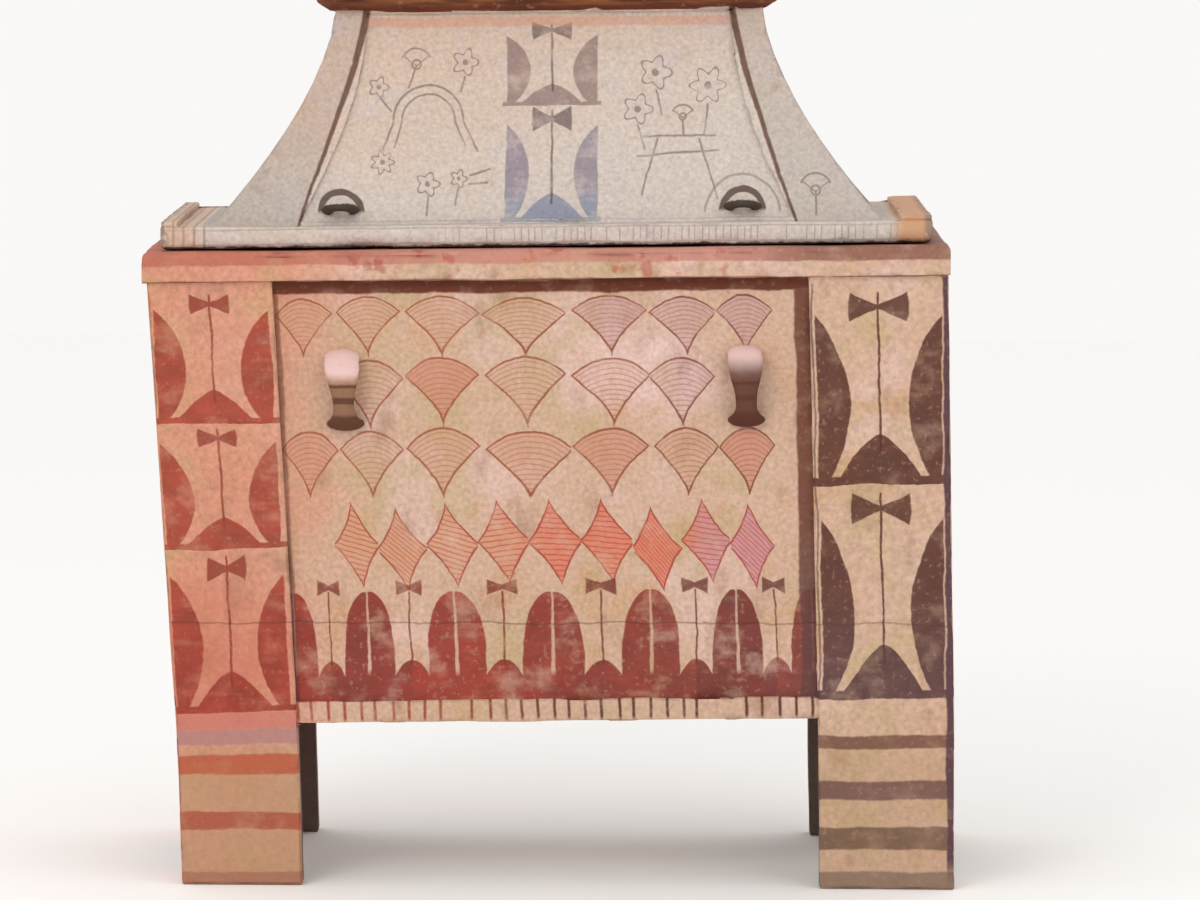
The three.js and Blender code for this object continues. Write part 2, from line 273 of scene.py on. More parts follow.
class Finish:
    """A material whose colour, roughness and relief are built up in layers."""

    def __init__(self, name):
        self.material = bpy.data.materials.new(name)
        self.material.use_nodes = True
        self.tree = self.material.node_tree
        self.tree.nodes.clear()
        self.place = self.node("ShaderNodeTexCoord", {}, {}, "Object", raw=True)
        parts = self.node("ShaderNodeSeparateXYZ", {}, {"Vector": self.place}, None)
        place_x, place_y, place_z = (Value(self, parts.outputs[i]) for i in range(3))
        self.y = place_y * 1000
        self.find_design(place_x * 1000 - MIDDLE * 1000, place_z * 1000)

    def node(self, kind, settings, inputs, output=0, raw=False):
        """Adds a node, sets it up, fills or joins its inputs, and gives back the node or one output."""
        node = self.tree.nodes.new(kind)
        for key, value in settings.items():
            setattr(node, key, value)
        for key, value in inputs.items():
            if isinstance(value, Value):
                self.tree.links.new(value.socket, node.inputs[key])
            elif isinstance(value, bpy.types.NodeSocket):
                self.tree.links.new(value, node.inputs[key])
            else:
                node.inputs[key].default_value = value
        if output is None:
            return node
        return node.outputs[output] if raw else Value(self, node.outputs[output])

    def find_design(self, x, z):
        """Takes the place back to the straight design, in millimetres: self.x and self.z."""
        in_leg = ramp(z, 0, LEG * 1000, smooth=False)
        in_wall = ramp(z, LEG * 1000, RIM_LOW * 1000, smooth=False)
        left = (1 - in_wall) * (LEAN_LEFT * 1000) + (1 - in_leg) * (LEAN_LEFT_LEG * 1000)
        right = (1 - in_wall) * (LEAN_RIGHT * 1000) + (1 - in_leg) * (LEAN_RIGHT_LEG * 1000)
        across = x * 0.001
        self.x = x - left * (0.5 - across) - right * (across + 0.5)
        self.z = z - across * in_leg * (RISE * 1000)

    def clouds(self, wavelength, detail=2.0, stretch=(1, 1, 1), shift=0.0, output="Fac"):
        """Smooth noise from about 0.3 to 0.7, whose patches are about a wavelength across, in metres."""
        mapping = {"Vector": self.place, "Scale": stretch, "Location": (shift, shift, shift)}
        spread = self.node("ShaderNodeMapping", {}, mapping, raw=True)
        inputs = {"Vector": spread, "Scale": 1 / wavelength, "Detail": detail, "Roughness": 0.55}
        return self.node("ShaderNodeTexNoise", {}, inputs, output, raw=output == "Color")

    def wander(self, wavelength, reach):
        """Two offsets, along X and Z, that make a straight line waver as a brush does, in millimetres."""
        colour = self.clouds(wavelength, 1.0, shift=3.1, output="Color")
        parts = self.node("ShaderNodeSeparateColor", {}, {"Color": colour}, None)
        return [(Value(self, parts.outputs[i]) - 0.5) * (2 * reach) for i in (0, 2)]

    def mix(self, base, over, mask):
        """Lays one colour over another where the mask is 1."""
        settings = {"data_type": "RGBA", "blend_type": "MIX"}
        inputs = {0: mask, 6: base, 7: over}
        return self.node("ShaderNodeMix", settings, inputs, 2, raw=True)

    def shade(self, base, factor):
        """Makes a colour lighter or darker by a factor, which may vary over the surface."""
        settings = {"operation": "SCALE"}
        return self.node("ShaderNodeVectorMath", settings, {0: base, "Scale": factor}, 0, raw=True)

    def done(self, colour, roughness, relief, depth):
        """Joins the layers to the shader. relief is a value, and depth its full height in metres."""
        height = {"Height": relief, "Strength": 1.0, "Distance": depth}
        bump = self.node("ShaderNodeBump", {}, height, "Normal", raw=True)
        looks = {
            "Base Color": colour, "Roughness": roughness, "Specular IOR Level": CLAY_SHEEN, "Normal": bump}
        shader = self.node("ShaderNodeBsdfPrincipled", {}, looks, "BSDF", raw=True)
        self.node("ShaderNodeOutputMaterial", {}, {"Surface": shader}, None)
        print(self.material.name, "has", len(self.tree.nodes), "nodes")
        return self.material


print("sheen of clay", CLAY_SHEEN)

# %% [markdown]
# Fired clay under a thin slip is never one colour. From left to right the chest goes from salmon to
# beige, with warmer, pinker and greener patches, and the lid is a pale cream. The paints are iron red
# and two browns. They are named here once, because the same colours come back on most of the pieces.

# %% Colours of the clay and the paint
SALMON = rgb(206, 142, 116)
SALMON_PINK = rgb(216, 150, 132)
BEIGE = rgb(204, 168, 144)
OCHRE = rgb(198, 154, 116)
PALE_PINK = rgb(232, 198, 196)
OLIVE = rgb(182, 160, 112)
STAIN = rgb(150, 108, 82)
LID_CREAM = rgb(203, 190, 180)
LID_PINK = rgb(204, 178, 160)
LID_GREY = rgb(198, 184, 184)
RED = rgb(150, 50, 38)
BROWN = rgb(94, 50, 40)
PURPLE = rgb(88, 60, 66)
DARK = rgb(70, 40, 28)
for name, tone in (("salmon", SALMON), ("beige", BEIGE)):
    print(name, "is", [round(part, 3) for part in tone[:3]])

# %% [markdown]
# The surface shows strokes of the potter's hand, pits where grit fell out, and fine grain. They could
# be modelled, but they are finer than a millimetre or two, so the light alone shows them, and a bump
# made from noise does that at no cost in points. Roughness drifts a little as well, because hands have
# rubbed some places smoother.

# %% Relief and sheen of the clay
RELIEF, LID_RELIEF, BARE_RELIEF, HANDLE_RELIEF = 1.1 * MM, 1.2 * MM, 1.4 * MM, 0.9 * MM


def grain(finish):
    """Relief of the clay: coarse hand marks, pits and fine grit, 0 to 1."""
    marks = finish.clouds(0.030, 3.0, stretch=(1, 1, 0.6))
    grit = finish.clouds(0.0022, 2.0)
    pits = ramp(finish.clouds(0.0065, 1.0, shift=5.0), 0.36, 0.27)
    return marks * 0.45 + grit * 0.25 - pits * 0.35 + 0.3


def matt(finish, base, shift=5.5):
    """Roughness of fired clay, a little smoother where it was rubbed."""
    return finish.clouds(0.02, 3.0, shift=shift) * 0.3 + base


print("hand marks and pits go", RELIEF * 1000, "mm deep")

# %% [markdown]
# Darker stains and a blush from the kiln lie on the bare ground of both pieces. The chest also has a
# painted highlight, pale pink where the light falls brightest on its front. Each patch could be placed by
# hand, but clouds of noise look as accidental as the real ones. The same function gives the ground to every
# finish, so that it runs on without a seam where one finish meets the next.

# %% The ground of the chest and of the lid
def chest_ground(finish):
    """The chest's bare ground: a drifting colour with patches, stains and a pale pink painted highlight."""
    drift = ramp(finish.x + (finish.clouds(0.16, 3.0) - 0.5) * 300, -440, -190)
    colour = finish.mix(SALMON, BEIGE, drift)
    # glare is a painted highlight: pale pink laid where the light falls brightest on the front
    glare = ((finish.x - 110) * 0.008) ** 2 + ((finish.z - 640) * 0.013) ** 2
    colour = finish.mix(colour, PALE_PINK, ramp(glare + finish.clouds(0.05, 3.0) * 1.6, 1.9, 0.7) * 0.6)
    blush = ramp(finish.clouds(0.11, 4.0, shift=1.7), 0.48, 0.68)
    colour = finish.mix(colour, finish.mix(SALMON_PINK, PALE_PINK, drift), blush * 0.34)
    warm = ramp(finish.clouds(0.07, 4.0, shift=8.3), 0.52, 0.72)
    colour = finish.mix(colour, OCHRE, warm * 0.7)
    olive = ramp(finish.clouds(0.09, 3.0, shift=11.4), 0.50, 0.66)
    colour = finish.mix(colour, OLIVE, both(olive, ramp(finish.x, -330, -220)) * 0.45)
    stains = ramp(finish.clouds(0.045, 5.0, stretch=(1, 1, 0.55), shift=2.4), 0.56, 0.74)
    colour = finish.mix(colour, STAIN, stains * 0.45)
    speckle = finish.clouds(0.006, 4.0, shift=6.0)
    return finish.shade(colour, speckle * 0.74 + 0.53)


def lid_ground(finish):
    """The lid's bare ground: pale grey cream, pinker towards the cap and the left end."""
    patches = finish.clouds(0.12, 4.0, shift=4.4)
    pink = ramp(finish.z + (patches - 0.5) * 260 - finish.x * 0.22, 850, 1130)
    colour = finish.mix(LID_CREAM, LID_PINK, pink)
    grey = ramp(finish.clouds(0.06, 5.0, shift=7.7), 0.50, 0.70)
    colour = finish.mix(colour, LID_GREY, grey * 0.5)
    stains = ramp(finish.clouds(0.035, 5.0, shift=9.2), 0.60, 0.76)
    colour = finish.mix(colour, STAIN, stains * 0.25)
    speckle = finish.clouds(0.005, 4.0, shift=6.0)
    return finish.shade(colour, speckle * 0.68 + 0.59)


print("the ground drifts from salmon to beige, and on the lid from cream to pink")

# %% [markdown]
# The paint is thin where the brush was dry, rubbed off in patches, and flaked in small spots. A
# hairline across the front shows where the chest was once broken and mended. Both could be cut into the
# surface, but paint and hairline have next to no depth, so they are masks that the finishes below
# share.

# %% Worn paint and the old mend
MEND_Z = 330  # height of the mend's hairline, in millimetres


def worn(finish, strength=1.0):
    """How much of the paint is left: thin streaks along the brush, rubbed patches and flaked spots."""
    streaks = finish.clouds(0.02, 3.0, stretch=(0.45, 0.45, 2.2), shift=3.3)
    patches = finish.clouds(0.035, 4.0, shift=0.9)
    flakes = ramp(finish.clouds(0.007, 3.0, shift=2.2), 0.32, 0.42)
    body = ramp(streaks * 0.25 + patches * 0.75, 0.32, 0.52)
    return (1 - (1 - body) * 0.42 * strength) * (flakes * 0.22 + 0.78)


def pigment(finish, tone):
    """A paint whose coat is thicker here and thinner there."""
    coat = finish.clouds(0.028, 5.0, stretch=(0.7, 0.7, 1.4), shift=6.6)
    return finish.shade(tone, coat * 0.9 + 0.42)


def crack(finish):
    """The hairline of an old mend, level across the front."""
    line = abs(finish.z + (finish.clouds(0.05, 4.0, shift=1.1) - 0.5) * 14 - MEND_Z + finish.x * 0.012)
    return ramp(line, 1.3, 0.5)


print("the mend runs", MEND_Z, "mm above the floor")

# %% [markdown]
# The painter's main motif fills a tall field: each horn is a lens against the field's edge, with a
# mound between them and a stem that carries a double axe. It could be drawn point by point, but its
# areas are simple, so each is a rule on a place. One rule then serves posts, ends and lid, in fields of
# different widths and heights.
# A hand doesn't draw a straight line, so the place itself wavers a little before the rule is asked.

# %% Horns with a double axe
AXE_UP = 0.885  # the axe's middle, as a share of the field's height


def steps(value, *bounds):
    """Counts up by one over each stretch between the bounds, so its fraction runs from 0 to 1 in each."""
    count = ramp(value, bounds[0], bounds[1], smooth=False)
    for low, high in zip(bounds[1:-1], bounds[2:]):
        count = count + ramp(value, low, high, smooth=False)
    return count * 0.9999


def horns(across, up, half, high, axe_half):
    """
    Masks of the motif in a field: the horns with their mound, and the axe with its stem. across is the
    distance from the field's middle, up the height in it from 0 to 1, half its half width, high its height
    and axe_half the axe's half width, all lengths in millimetres.
    """
    off = abs(across)
    lens = positive(1 - (abs(up - 0.40) * (1 / 0.455)) ** 2) ** 0.8
    horn = most(most((1 - lens * 0.56) * half - off, off - half + 5), (up - 0.84) * high)
    mound = up * high - (positive(1 - (off / (half * 0.60)) ** 1.4) * 0.21 + 0.045) * high
    body = inside(least(horn, mound), 1.1)
    stem = both(inside(off - 1.5, 0.8), inside(abs(up - 0.56) * high - 0.40 * high, 1.5))
    blade = abs(up - AXE_UP) * high - (off * 0.40 + 2.6 + (off / axe_half) ** 3 * axe_half * 0.06)
    bulge = off - axe_half + ((up - AXE_UP) * (high * 0.075)) ** 2
    axe = both(inside(blade, 1.0), inside(bulge, 1.2))
    return body, either(stem, axe)


def brush(finish, reach=2.2):
    """The place as an unsteady hand finds it: broad drift, and a ragged edge to each stroke."""
    slow_x, slow_z = finish.wander(0.075, reach * 1.8)
    fast_x, fast_z = finish.wander(0.011, reach * 0.55)
    return finish.x + slow_x + fast_x, finish.z + slow_z + fast_z


print("the axe sits at", AXE_UP, "of a field's height")

# %% [markdown]
# Scales and lozenges stand in rows that were spaced by eye, wider in the middle than at the ends. A
# list of places would do, but a count along the row is shorter: a cubic term makes the cells in the
# middle wider. Noise that stays the same inside a cell then gives each motif its own small accident.

# %% Cells along a row
def cells(x, middle, pitch, bend):
    """Cells along X, wider in the middle: the nearest cell's count, and the place in it, -0.5 to 0.5."""
    t = (x - middle) * (1 / pitch)
    count = t + t * t * t * bend
    nearest = whole(count + 0.5)
    return nearest, count - nearest


def chance(finish, *counts):
    """A number from 0 to 1 that stays the same inside a cell."""
    spot = finish.node("ShaderNodeCombineXYZ", {}, dict(enumerate(counts)), 0, raw=True)
    return finish.node("ShaderNodeTexWhiteNoise", {"noise_dimensions": "3D"}, {"Vector": spot}, "Value")


print("the count goes up by one per pitch in the middle of a row, and faster towards its ends")

# %% [markdown]
# Three rows of scales cover the upper part of the panel: fans with a curved top and a point below,
# hatched with fine lines. They could be separate shapes laid on the panel, but they have no thickness,
# so one rule draws a fan in every cell. A fan is left out where a handle stands.

# %% Rows of scales
ROW_BOUNDS = (486, 575, 664, 740)
SHOULDER = 0.71  # where a fan's straight sides end, as a share of the row's height


def scales(finish, x, z, bounds=ROW_BOUNDS, middle=-30, pitch=108, bend=0.028):
    """Masks of the fans' fill, outline and hatching, and a number for each fan's tint."""
    rows = steps(z, *bounds)
    row = whole(rows)
    nearest, u = cells(x, middle, pitch, bend)
    lot = chance(finish, nearest, row, 7.0) - 0.5
    up = fraction(rows) - lot * 0.06
    off = abs(u + (chance(finish, nearest, row, 4.0) - 0.5) * 0.07) * (lot * 0.12 + 1.0)
    high = (bounds[-1] - bounds[0]) / (len(bounds) - 1)
    top = SHOULDER + (1 - (off / 0.49) ** 2) * 0.26
    side = (off - 0.49 * positive(up / SHOULDER) ** 1.5) * (pitch * 0.72)
    above = (up - top) * high
    edge = most(side, above)
    on_panel = both(ramp(z, bounds[0] + 1, bounds[0] + 3), ramp(z, bounds[-1] + 8, bounds[-1] + 6))
    if bend:
        by_handle = both(ramp(abs(nearest), 2.2, 2.8), inside(abs(row - 1) - 0.5, 0.1))
        on_panel = both(on_panel, 1 - by_handle, inside(abs(nearest) - 3.5, 0.1))
    line = both(inside(abs(edge + 0.8) - 1.3, 0.8), on_panel)
    lines = abs(fraction((top - up) * (high / 6.3)) - 0.5)
    hatch = both(ramp(lines, 0.30, 0.45), inside(edge + 1.5))
    fill = both(inside(edge), on_panel)
    return fill, line, both(hatch, on_panel), chance(finish, nearest, row, 1.0)


print("rows of scales between heights", ROW_BOUNDS)

# %% [markdown]
# Under the scales is a row of lozenges with hollow sides, joined at their tips and leaning a little. A
# power below one bends the sides of a plain lozenge inwards, which is why the rule takes that form.

# %% The row of lozenges
LOZENGE_Z, LOZENGE_HALF, LOZENGE_PITCH = 428, 53, 66


def lozenges(finish, x, z):
    """Masks of the row of curved lozenges: fill, outline and hatching, and a number for each one."""
    nearest, u = cells(x + (z - LOZENGE_Z) * 0.12, -2, LOZENGE_PITCH, 0.004)
    lot = chance(finish, nearest, 3.0, 0.0)
    along = (abs(u + (lot - 0.5) * 0.10) * 1.80) ** 0.84
    up = abs(z + (lot - 0.5) * 14 - LOZENGE_Z) * (1 / LOZENGE_HALF)
    edge = most((along + up ** 0.78 - 1) * 30, (abs(nearest) - 4.5) * 40)
    lines = abs(fraction((z + x * (lot * 1.6 - 0.3)) * (1 / 6.4)) - 0.5)
    fill = inside(edge)
    return fill, inside(abs(edge + 0.6) - 1.1, 0.8), both(ramp(lines, 0.30, 0.45), fill), lot


print("lozenges are", LOZENGE_PITCH, "mm apart and", 2 * LOZENGE_HALF, "mm high")

# %% [markdown]
# Along the bottom stand dark red horns, back to back, with a double axe over a small mound between one
# pair and the next. The larger rule for horns doesn't fit this row, because its horns lean together
# into one round-topped shape, so the row has its own rule.

# %% The row of horns at the panel's foot
FOOT_CELLS = {"middle": -8, "pitch": 126, "bend": 0.0231}
FOOT_LOW, FOOT_HIGH = 255, 117  # where the horns begin, and their height
HORN_PAIR = 112  # width of a cell: a pair of horns back to back and the field beside them


def foot_row(x, z):
    """Masks of the horns along the panel's foot: the dark bodies, and the axes with their stems."""
    _, u = cells(x, **FOOT_CELLS)
    off = abs(u) * HORN_PAIR
    up = positive((z - FOOT_LOW) * (1 / FOOT_HIGH))
    horn = most(off - positive(1 - up ** 3.4) ** 0.52 * 35, (up - 0.99) * FOOT_HIGH)
    gap = inside(off + (z - 330) * 0.012 - 1.6, 0.9)
    body = both(either(inside(horn, 1.1), inside(z - 266, 1.3)), 1 - both(gap, ramp(z, 262, 274)) * 0.85)
    beside = (0.5 - abs(u)) * HORN_PAIR
    mound = z - 266 - positive(1 - (beside * (1 / 21)) ** 2) * 19
    stem = both(inside(beside - 1.3, 0.8), inside(abs(z - 325) - 46, 1.5))
    blade = abs(z - 376) - (beside * 0.42 + 3.0)
    axe = both(inside(blade, 1.0), inside(beside - 17, 1.2))
    return either(body, inside(mound, 1.2)), either(stem, axe)


print("horns stand from", FOOT_LOW, "to", FOOT_LOW + FOOT_HIGH, "mm above the floor")

# %% [markdown]
# The panel is painted from the ground up: scales first, then lozenges, then the row of horns and the
# dark borders, where the band under the rim is partly painted shade. The layers are mixed in that order,
# as the painter did, because a later stroke covers an earlier one. The back can't be seen in the picture.
# It gets the same scales and lozenges over a plain band.

# %% Finish of the front and back panels
# the dark band under the rim is paint together with painted shade from the rim's overhang
UNDER_RIM = 743  # lower edge of the dark line under the rim, in millimetres


def panel_finish(name, plain=False):
    """The painted panel. The plain one has a red band along its foot in place of the row of horns."""
    finish = Finish(name)
    ground = chest_ground(finish)
    x, z = brush(finish)
    wear = worn(finish)
    drift = ramp(finish.x, -150, 330)
    red = finish.mix(RED, rgb(126, 54, 46), drift)
    line_colour = finish.mix(rgb(146, 78, 50), rgb(112, 62, 48), drift)

    fill, line, hatch, tint = scales(finish, x, z)
    mauve = both(ramp(finish.x + (tint - 0.5) * 200, 0, 110), ramp(z, 560, 600))
    tone = finish.mix(rgb(192, 140, 114), rgb(190, 116, 94), ramp(tint, 0.5, 0.9))
    tone = finish.mix(tone, rgb(176, 128, 136), mauve)
    colour = finish.mix(ground, tone, both(fill, tint * 0.45 + 0.2))
    colour = finish.mix(colour, line_colour, both(hatch, wear) * 0.42)
    colour = finish.mix(colour, line_colour, both(line, wear) * 0.95)

    fill, line, hatch, lot = lozenges(finish, x, z)
    warm = finish.mix(rgb(198, 136, 104), rgb(206, 98, 72), ramp(finish.x + lot * 60, -110, 30))
    warm = finish.mix(warm, rgb(190, 118, 130), ramp(finish.x, 150, 200))
    colour = finish.mix(colour, warm, both(fill, wear) * 0.72)
    colour = finish.mix(colour, rgb(146, 50, 44), either(hatch * 0.58, line * 0.9) * wear)

    if plain:
        colour = finish.mix(colour, pigment(finish, red), both(inside(z - 300, 1.5), wear) * 0.95)
    else:
        body, fine = foot_row(x, z)
        nearest, _ = cells(x, **FOOT_CELLS)
        red = finish.mix(red, rgb(108, 42, 38), ramp(chance(finish, nearest, 5.0, 5.0), 0.3, 0.9) * 0.7)
        colour = finish.mix(colour, pigment(finish, red), both(body, wear) * 0.95)
        colour = finish.mix(colour, finish.mix(rgb(120, 46, 34), BROWN, drift), both(fine, wear) * 0.9)

    # the dark band under the rim is partly a painted line and partly painted shade cast by the rim's edge
    line_and_shade_under_rim = inside(UNDER_RIM - z, 1.6)
    left_border = inside(x - PANEL_LEFT * 1000 - 4.5, 1.8)
    right_border = inside(PANEL_RIGHT * 1000 - 18 - x, 1.8)
    border = finish.mix(rgb(98, 48, 30), rgb(96, 60, 58), ramp(z, 520, 330))
    borders = either(line_and_shade_under_rim, left_border * 0.62, right_border * 0.9)
    colour = finish.mix(colour, border, borders * (wear * 0.5 + 0.5))

    split = crack(finish)
    colour = finish.mix(colour, rgb(92, 50, 38), split * 0.42)
    return finish.done(colour, matt(finish, 0.60), grain(finish) - split * 0.6, RELIEF)


CHEST_FINISHES = {
    "front_panel": panel_finish("front_panel"),
    "back_panel": panel_finish("back_panel", plain=True),
}

# %% [markdown]
# Each corner post has its own column of horns, three on the left and two on the right, over stripes
# round the leg. The left column is brick red and the right one dark brown. Two functions would say the
# same thing twice, so one is told the field's edges, the bounds of its motifs and its colours.

# %% Finish of the posts
def band(z, low, high, soft=1.6):
    """A level stripe between two heights, in millimetres."""
    return inside(abs(z - (low + high) / 2) - (high - low) / 2, soft)


def post_finish(name, left, right, bounds, axe_half, paint, stripes, edge_mark):
    """A post's column of horns between the bounds. The edge mark is the right post's purple frame."""
    finish = Finish(name)
    colour = chest_ground(finish)
    x, z = brush(finish, 2.6)
    wear = worn(finish, 0.55 if edge_mark else 0.9)
    half = (right - left) / 2
    count = steps(z, *bounds)
    high = (bounds[-1] - bounds[0]) / (len(bounds) - 1)
    body, fine = horns(x - (left + right) / 2, fraction(count), half, high, axe_half)
    field = both(ramp(z, bounds[0], bounds[0] + 2), ramp(z, bounds[-1] + 1, bounds[-1] - 1))
    colour = finish.mix(colour, rgb(168, 134, 100), ramp(z, 200, 150) * (0.35 if edge_mark else 0.6))
    low_tone = finish.mix(paint, PURPLE if edge_mark else RED, ramp(z, 420, 240) * 0.7)
    if not edge_mark:
        washed = both(ramp(z, 440, 300), ramp(z, 215, 230))
        colour = finish.mix(colour, rgb(188, 98, 80), washed * (finish.clouds(0.06, 3.0) * 0.9))
    colour = finish.mix(colour, pigment(finish, low_tone), both(body, field, wear) * 0.94)
    dark = finish.mix(low_tone, DARK, 0.35)
    colour = finish.mix(colour, dark, both(fine, field, wear) * 0.92)
    for low, top, tone, strength in stripes:
        colour = finish.mix(colour, tone, both(band(z, low, top), wear) * strength)
    if edge_mark:
        edge = inside(RIGHT_EDGE * 1000 - 9 - x, 1.5)
        colour = finish.mix(colour, PURPLE, both(edge, ramp(z, 0, 40)) * wear)
        frame_line = inside(abs(abs(x - (left + right) / 2) - half + 1) - 1.2, 0.8)
        colour = finish.mix(colour, PURPLE, both(frame_line, field, wear) * 0.7)
    else:
        edge = inside(x - LEFT_EDGE * 1000 - 2.5, 1.5)
        colour = finish.mix(colour, rgb(120, 60, 50), edge * 0.5)
    split = crack(finish)
    colour = finish.mix(colour, rgb(104, 60, 46), split * 0.4)
    return finish.done(colour, matt(finish, 0.62), grain(finish) - split * 0.5, RELIEF)


LEFT_STRIPES = [
    (201, 222, rgb(190, 110, 98), 0.8),
    (181, 201, rgb(164, 118, 116), 0.8),
    (144, 168, rgb(172, 84, 58), 0.9),
    (71, 94, rgb(160, 80, 60), 0.92),
    (0, 17, rgb(150, 98, 78), 0.7),
]
RIGHT_STRIPES = [
    (171, 188, rgb(112, 74, 60), 0.92),
    (109, 131, rgb(108, 76, 70), 0.92),
    (48, 76, rgb(104, 78, 62), 0.9),
    (0, 22, rgb(120, 98, 84), 0.8),
]
LEFT_BOUNDS, RIGHT_BOUNDS = (222, 428, 583, 752), (232, 500, 750)  # of the motifs, from below
LEFT_PAINT, RIGHT_PAINT = rgb(160, 66, 50), rgb(88, 44, 34)
CHEST_FINISHES["left_post"] = post_finish(
    "left_post", -494, -340, LEFT_BOUNDS, 25, LEFT_PAINT, LEFT_STRIPES, False)
CHEST_FINISHES["right_post"] = post_finish(
    "right_post", 326, 492, RIGHT_BOUNDS, 38, RIGHT_PAINT, RIGHT_STRIPES, True)

# %% [markdown]
# The rim has a red band over a bare one, with a dark line below and smears of red near the middle.
# Smears could be drawn one by one, but noise that is let through in the middle alone gives the same
# broken look.

# %% Finish of the rim
def rim_finish(name):
    finish = Finish(name)
    colour = chest_ground(finish)
    x, z = brush(finish, 1.4)
    wear = worn(finish, 0.8)
    red = finish.mix(rgb(172, 98, 80), rgb(186, 122, 108), ramp(x, -330, -60))
    red = finish.mix(red, rgb(128, 80, 68), ramp(x, 180, 360))
    upper = inside(780 - z, 1.6)
    colour = finish.mix(colour, red, both(upper, wear) * 0.85)
    spots = ramp(finish.clouds(0.03, 3.0, shift=4.1), 0.56, 0.66)
    smears = both(spots, ramp(abs(x + 20), 330, 200))
    colour = finish.mix(colour, rgb(158, 60, 50), smears * 0.55)
    line = inside(z - 761, 1.2)
    colour = finish.mix(colour, rgb(112, 66, 46), line * 0.75)
    return finish.done(colour, matt(finish, 0.60), grain(finish), RELIEF)


CHEST_FINISHES["rim"] = rim_finish("chest_rim")

# %% [markdown]
# Along the rail below the panel runs a row of short upright strokes. Cells of one width with a small
# shift of their own are enough here, and a few strokes are missing, as they are where the paint has
# worn off.

# %% Finish of the rail
STROKE_PITCH = 20.5  # from one upright stroke to the next, in millimetres


def rail_finish(name):
    finish = Finish(name)
    colour = chest_ground(finish)
    x, z = brush(finish, 1.2)
    wear = worn(finish, 0.9)
    count = x * (1 / STROKE_PITCH)
    lean = chance(finish, whole(count), 2.0, 2.0)
    upright = inside(abs(fraction(count + (lean - 0.5) * 0.25) - 0.5) * STROKE_PITCH - 1.9, 1.2)
    strokes = both(upright, ramp(z, 207, 215), ramp(lean, 0.02, 0.2))
    tone = finish.mix(rgb(150, 74, 54), rgb(90, 54, 44), ramp(x, -200, 60))
    colour = finish.mix(colour, tone, strokes * wear)
    return finish.done(colour, matt(finish, 0.62), grain(finish), RELIEF)


CHEST_FINISHES["rail"] = rail_finish("bottom_rail")

# %% [markdown]
# The end walls can't be seen in the picture, so they get the chest's own motifs, fewer and plainer: a
# column of scales between posts with horns. The rules above are used again with Y in place of X, which
# keeps them in the same hand.

# %% Finish of the end walls
END_ROWS = (300, 385, 470, 555, 640)
END_PANEL_HALF, END_POST_INNER = 101, 112  # from the middle of the end wall, in millimetres


def end_finish(name):
    """An end wall: red bands over and under a column of scales, between posts with stripes."""
    finish = Finish(name)
    colour = chest_ground(finish)
    wander_y, wander_z = finish.wander(0.07, 4.0)
    y, z = finish.y + wander_y, finish.z + wander_z
    wear = worn(finish, 0.9)
    fill, line, hatch, tint = scales(finish, y, z, END_ROWS, 0, 88, 0.0)
    on_panel = inside(abs(y) - END_PANEL_HALF, 1.0)
    tone = finish.mix(RED, BROWN, ramp(finish.x, -100, 100))
    colour = finish.mix(colour, tone, both(fill, on_panel, ramp(tint, 0.4, 0.9)) * 0.25)
    colour = finish.mix(colour, tone, both(either(line, hatch * 0.5), on_panel, wear) * 0.8)
    # the band under the rim repeats the front's dark band, partly paint and partly painted shade
    bands = either(band(z, 672, 700), band(z, 246, 276), inside(UNDER_RIM - z, 1.6))
    colour = finish.mix(colour, tone, both(bands, on_panel, wear) * 0.9)
    count = steps(z, 232, 500, 750)
    body, fine = horns(abs(y) - 166, fraction(count), 54, 260, 22)
    on_post = both(inside(END_POST_INNER - abs(y), 1.0), ramp(z, 232, 234), ramp(z, 751, 749))
    colour = finish.mix(colour, tone, both(either(body, fine), on_post, wear) * 0.9)
    stripes = either(band(z, 168, 190), band(z, 106, 130), band(z, 46, 72), band(z, 0, 16))
    colour = finish.mix(colour, tone, both(stripes, wear) * 0.8)
    return finish.done(colour, matt(finish, 0.62), grain(finish), RELIEF)


CHEST_FINISHES["end_wall"] = end_finish("end_wall")

# %% [markdown]
# Inside, underneath and between the legs the clay was never painted. It is a little darker than the
# ground, and from the chest's floor down it is painted dark grey as painted shade, where the chest shades
# its legs. It could share the outer finish, but paint would then show inside, so it has one of its own on
# the same ground.

# %% Bare clay
def bare_finish(name):
    """Clay that was never painted: inside, underneath and between the legs, with painted shade low down."""
    finish = Finish(name)
    colour = finish.shade(chest_ground(finish), 0.8)
    # painted shade: from the chest's floor down the clay is painted dark grey, where the chest shades its
    # legs
    painted_shade_low = ramp(finish.z + (finish.clouds(0.05, 3.0) - 0.5) * 60, 225, 190)
    colour = finish.mix(colour, rgb(66, 58, 54), painted_shade_low * 0.85)
    return finish.done(colour, finish.clouds(0.02) * 0.2 + 0.72, grain(finish), BARE_RELIEF)


CHEST_FINISHES["bare"] = bare_finish("bare_clay")

# %% [markdown]
# Both clay pieces start as a copy of the frame's solid. They could be built again from boxes, but a
# copy keeps every size. Its loose triangles are merged and its flat areas made single faces, because a
# bevel and clean cuts need that. Faces and edges are picked by a rule on their place, as a hand would
# pick them by eye.

# %% Selecting and copying
FLAT = math.radians(0.5)
WELD, SLIVER = 0.002 * MM, 0.6 * MM  # closer points merge: in the copy, and after the cuts


def edit(piece):
    """Opens a piece in edit mode, with nothing else selected."""
    bpy.ops.object.select_all(action="DESELECT")
    piece.select_set(True)
    bpy.context.view_layer.objects.active = piece
    bpy.ops.object.mode_set(mode="EDIT")


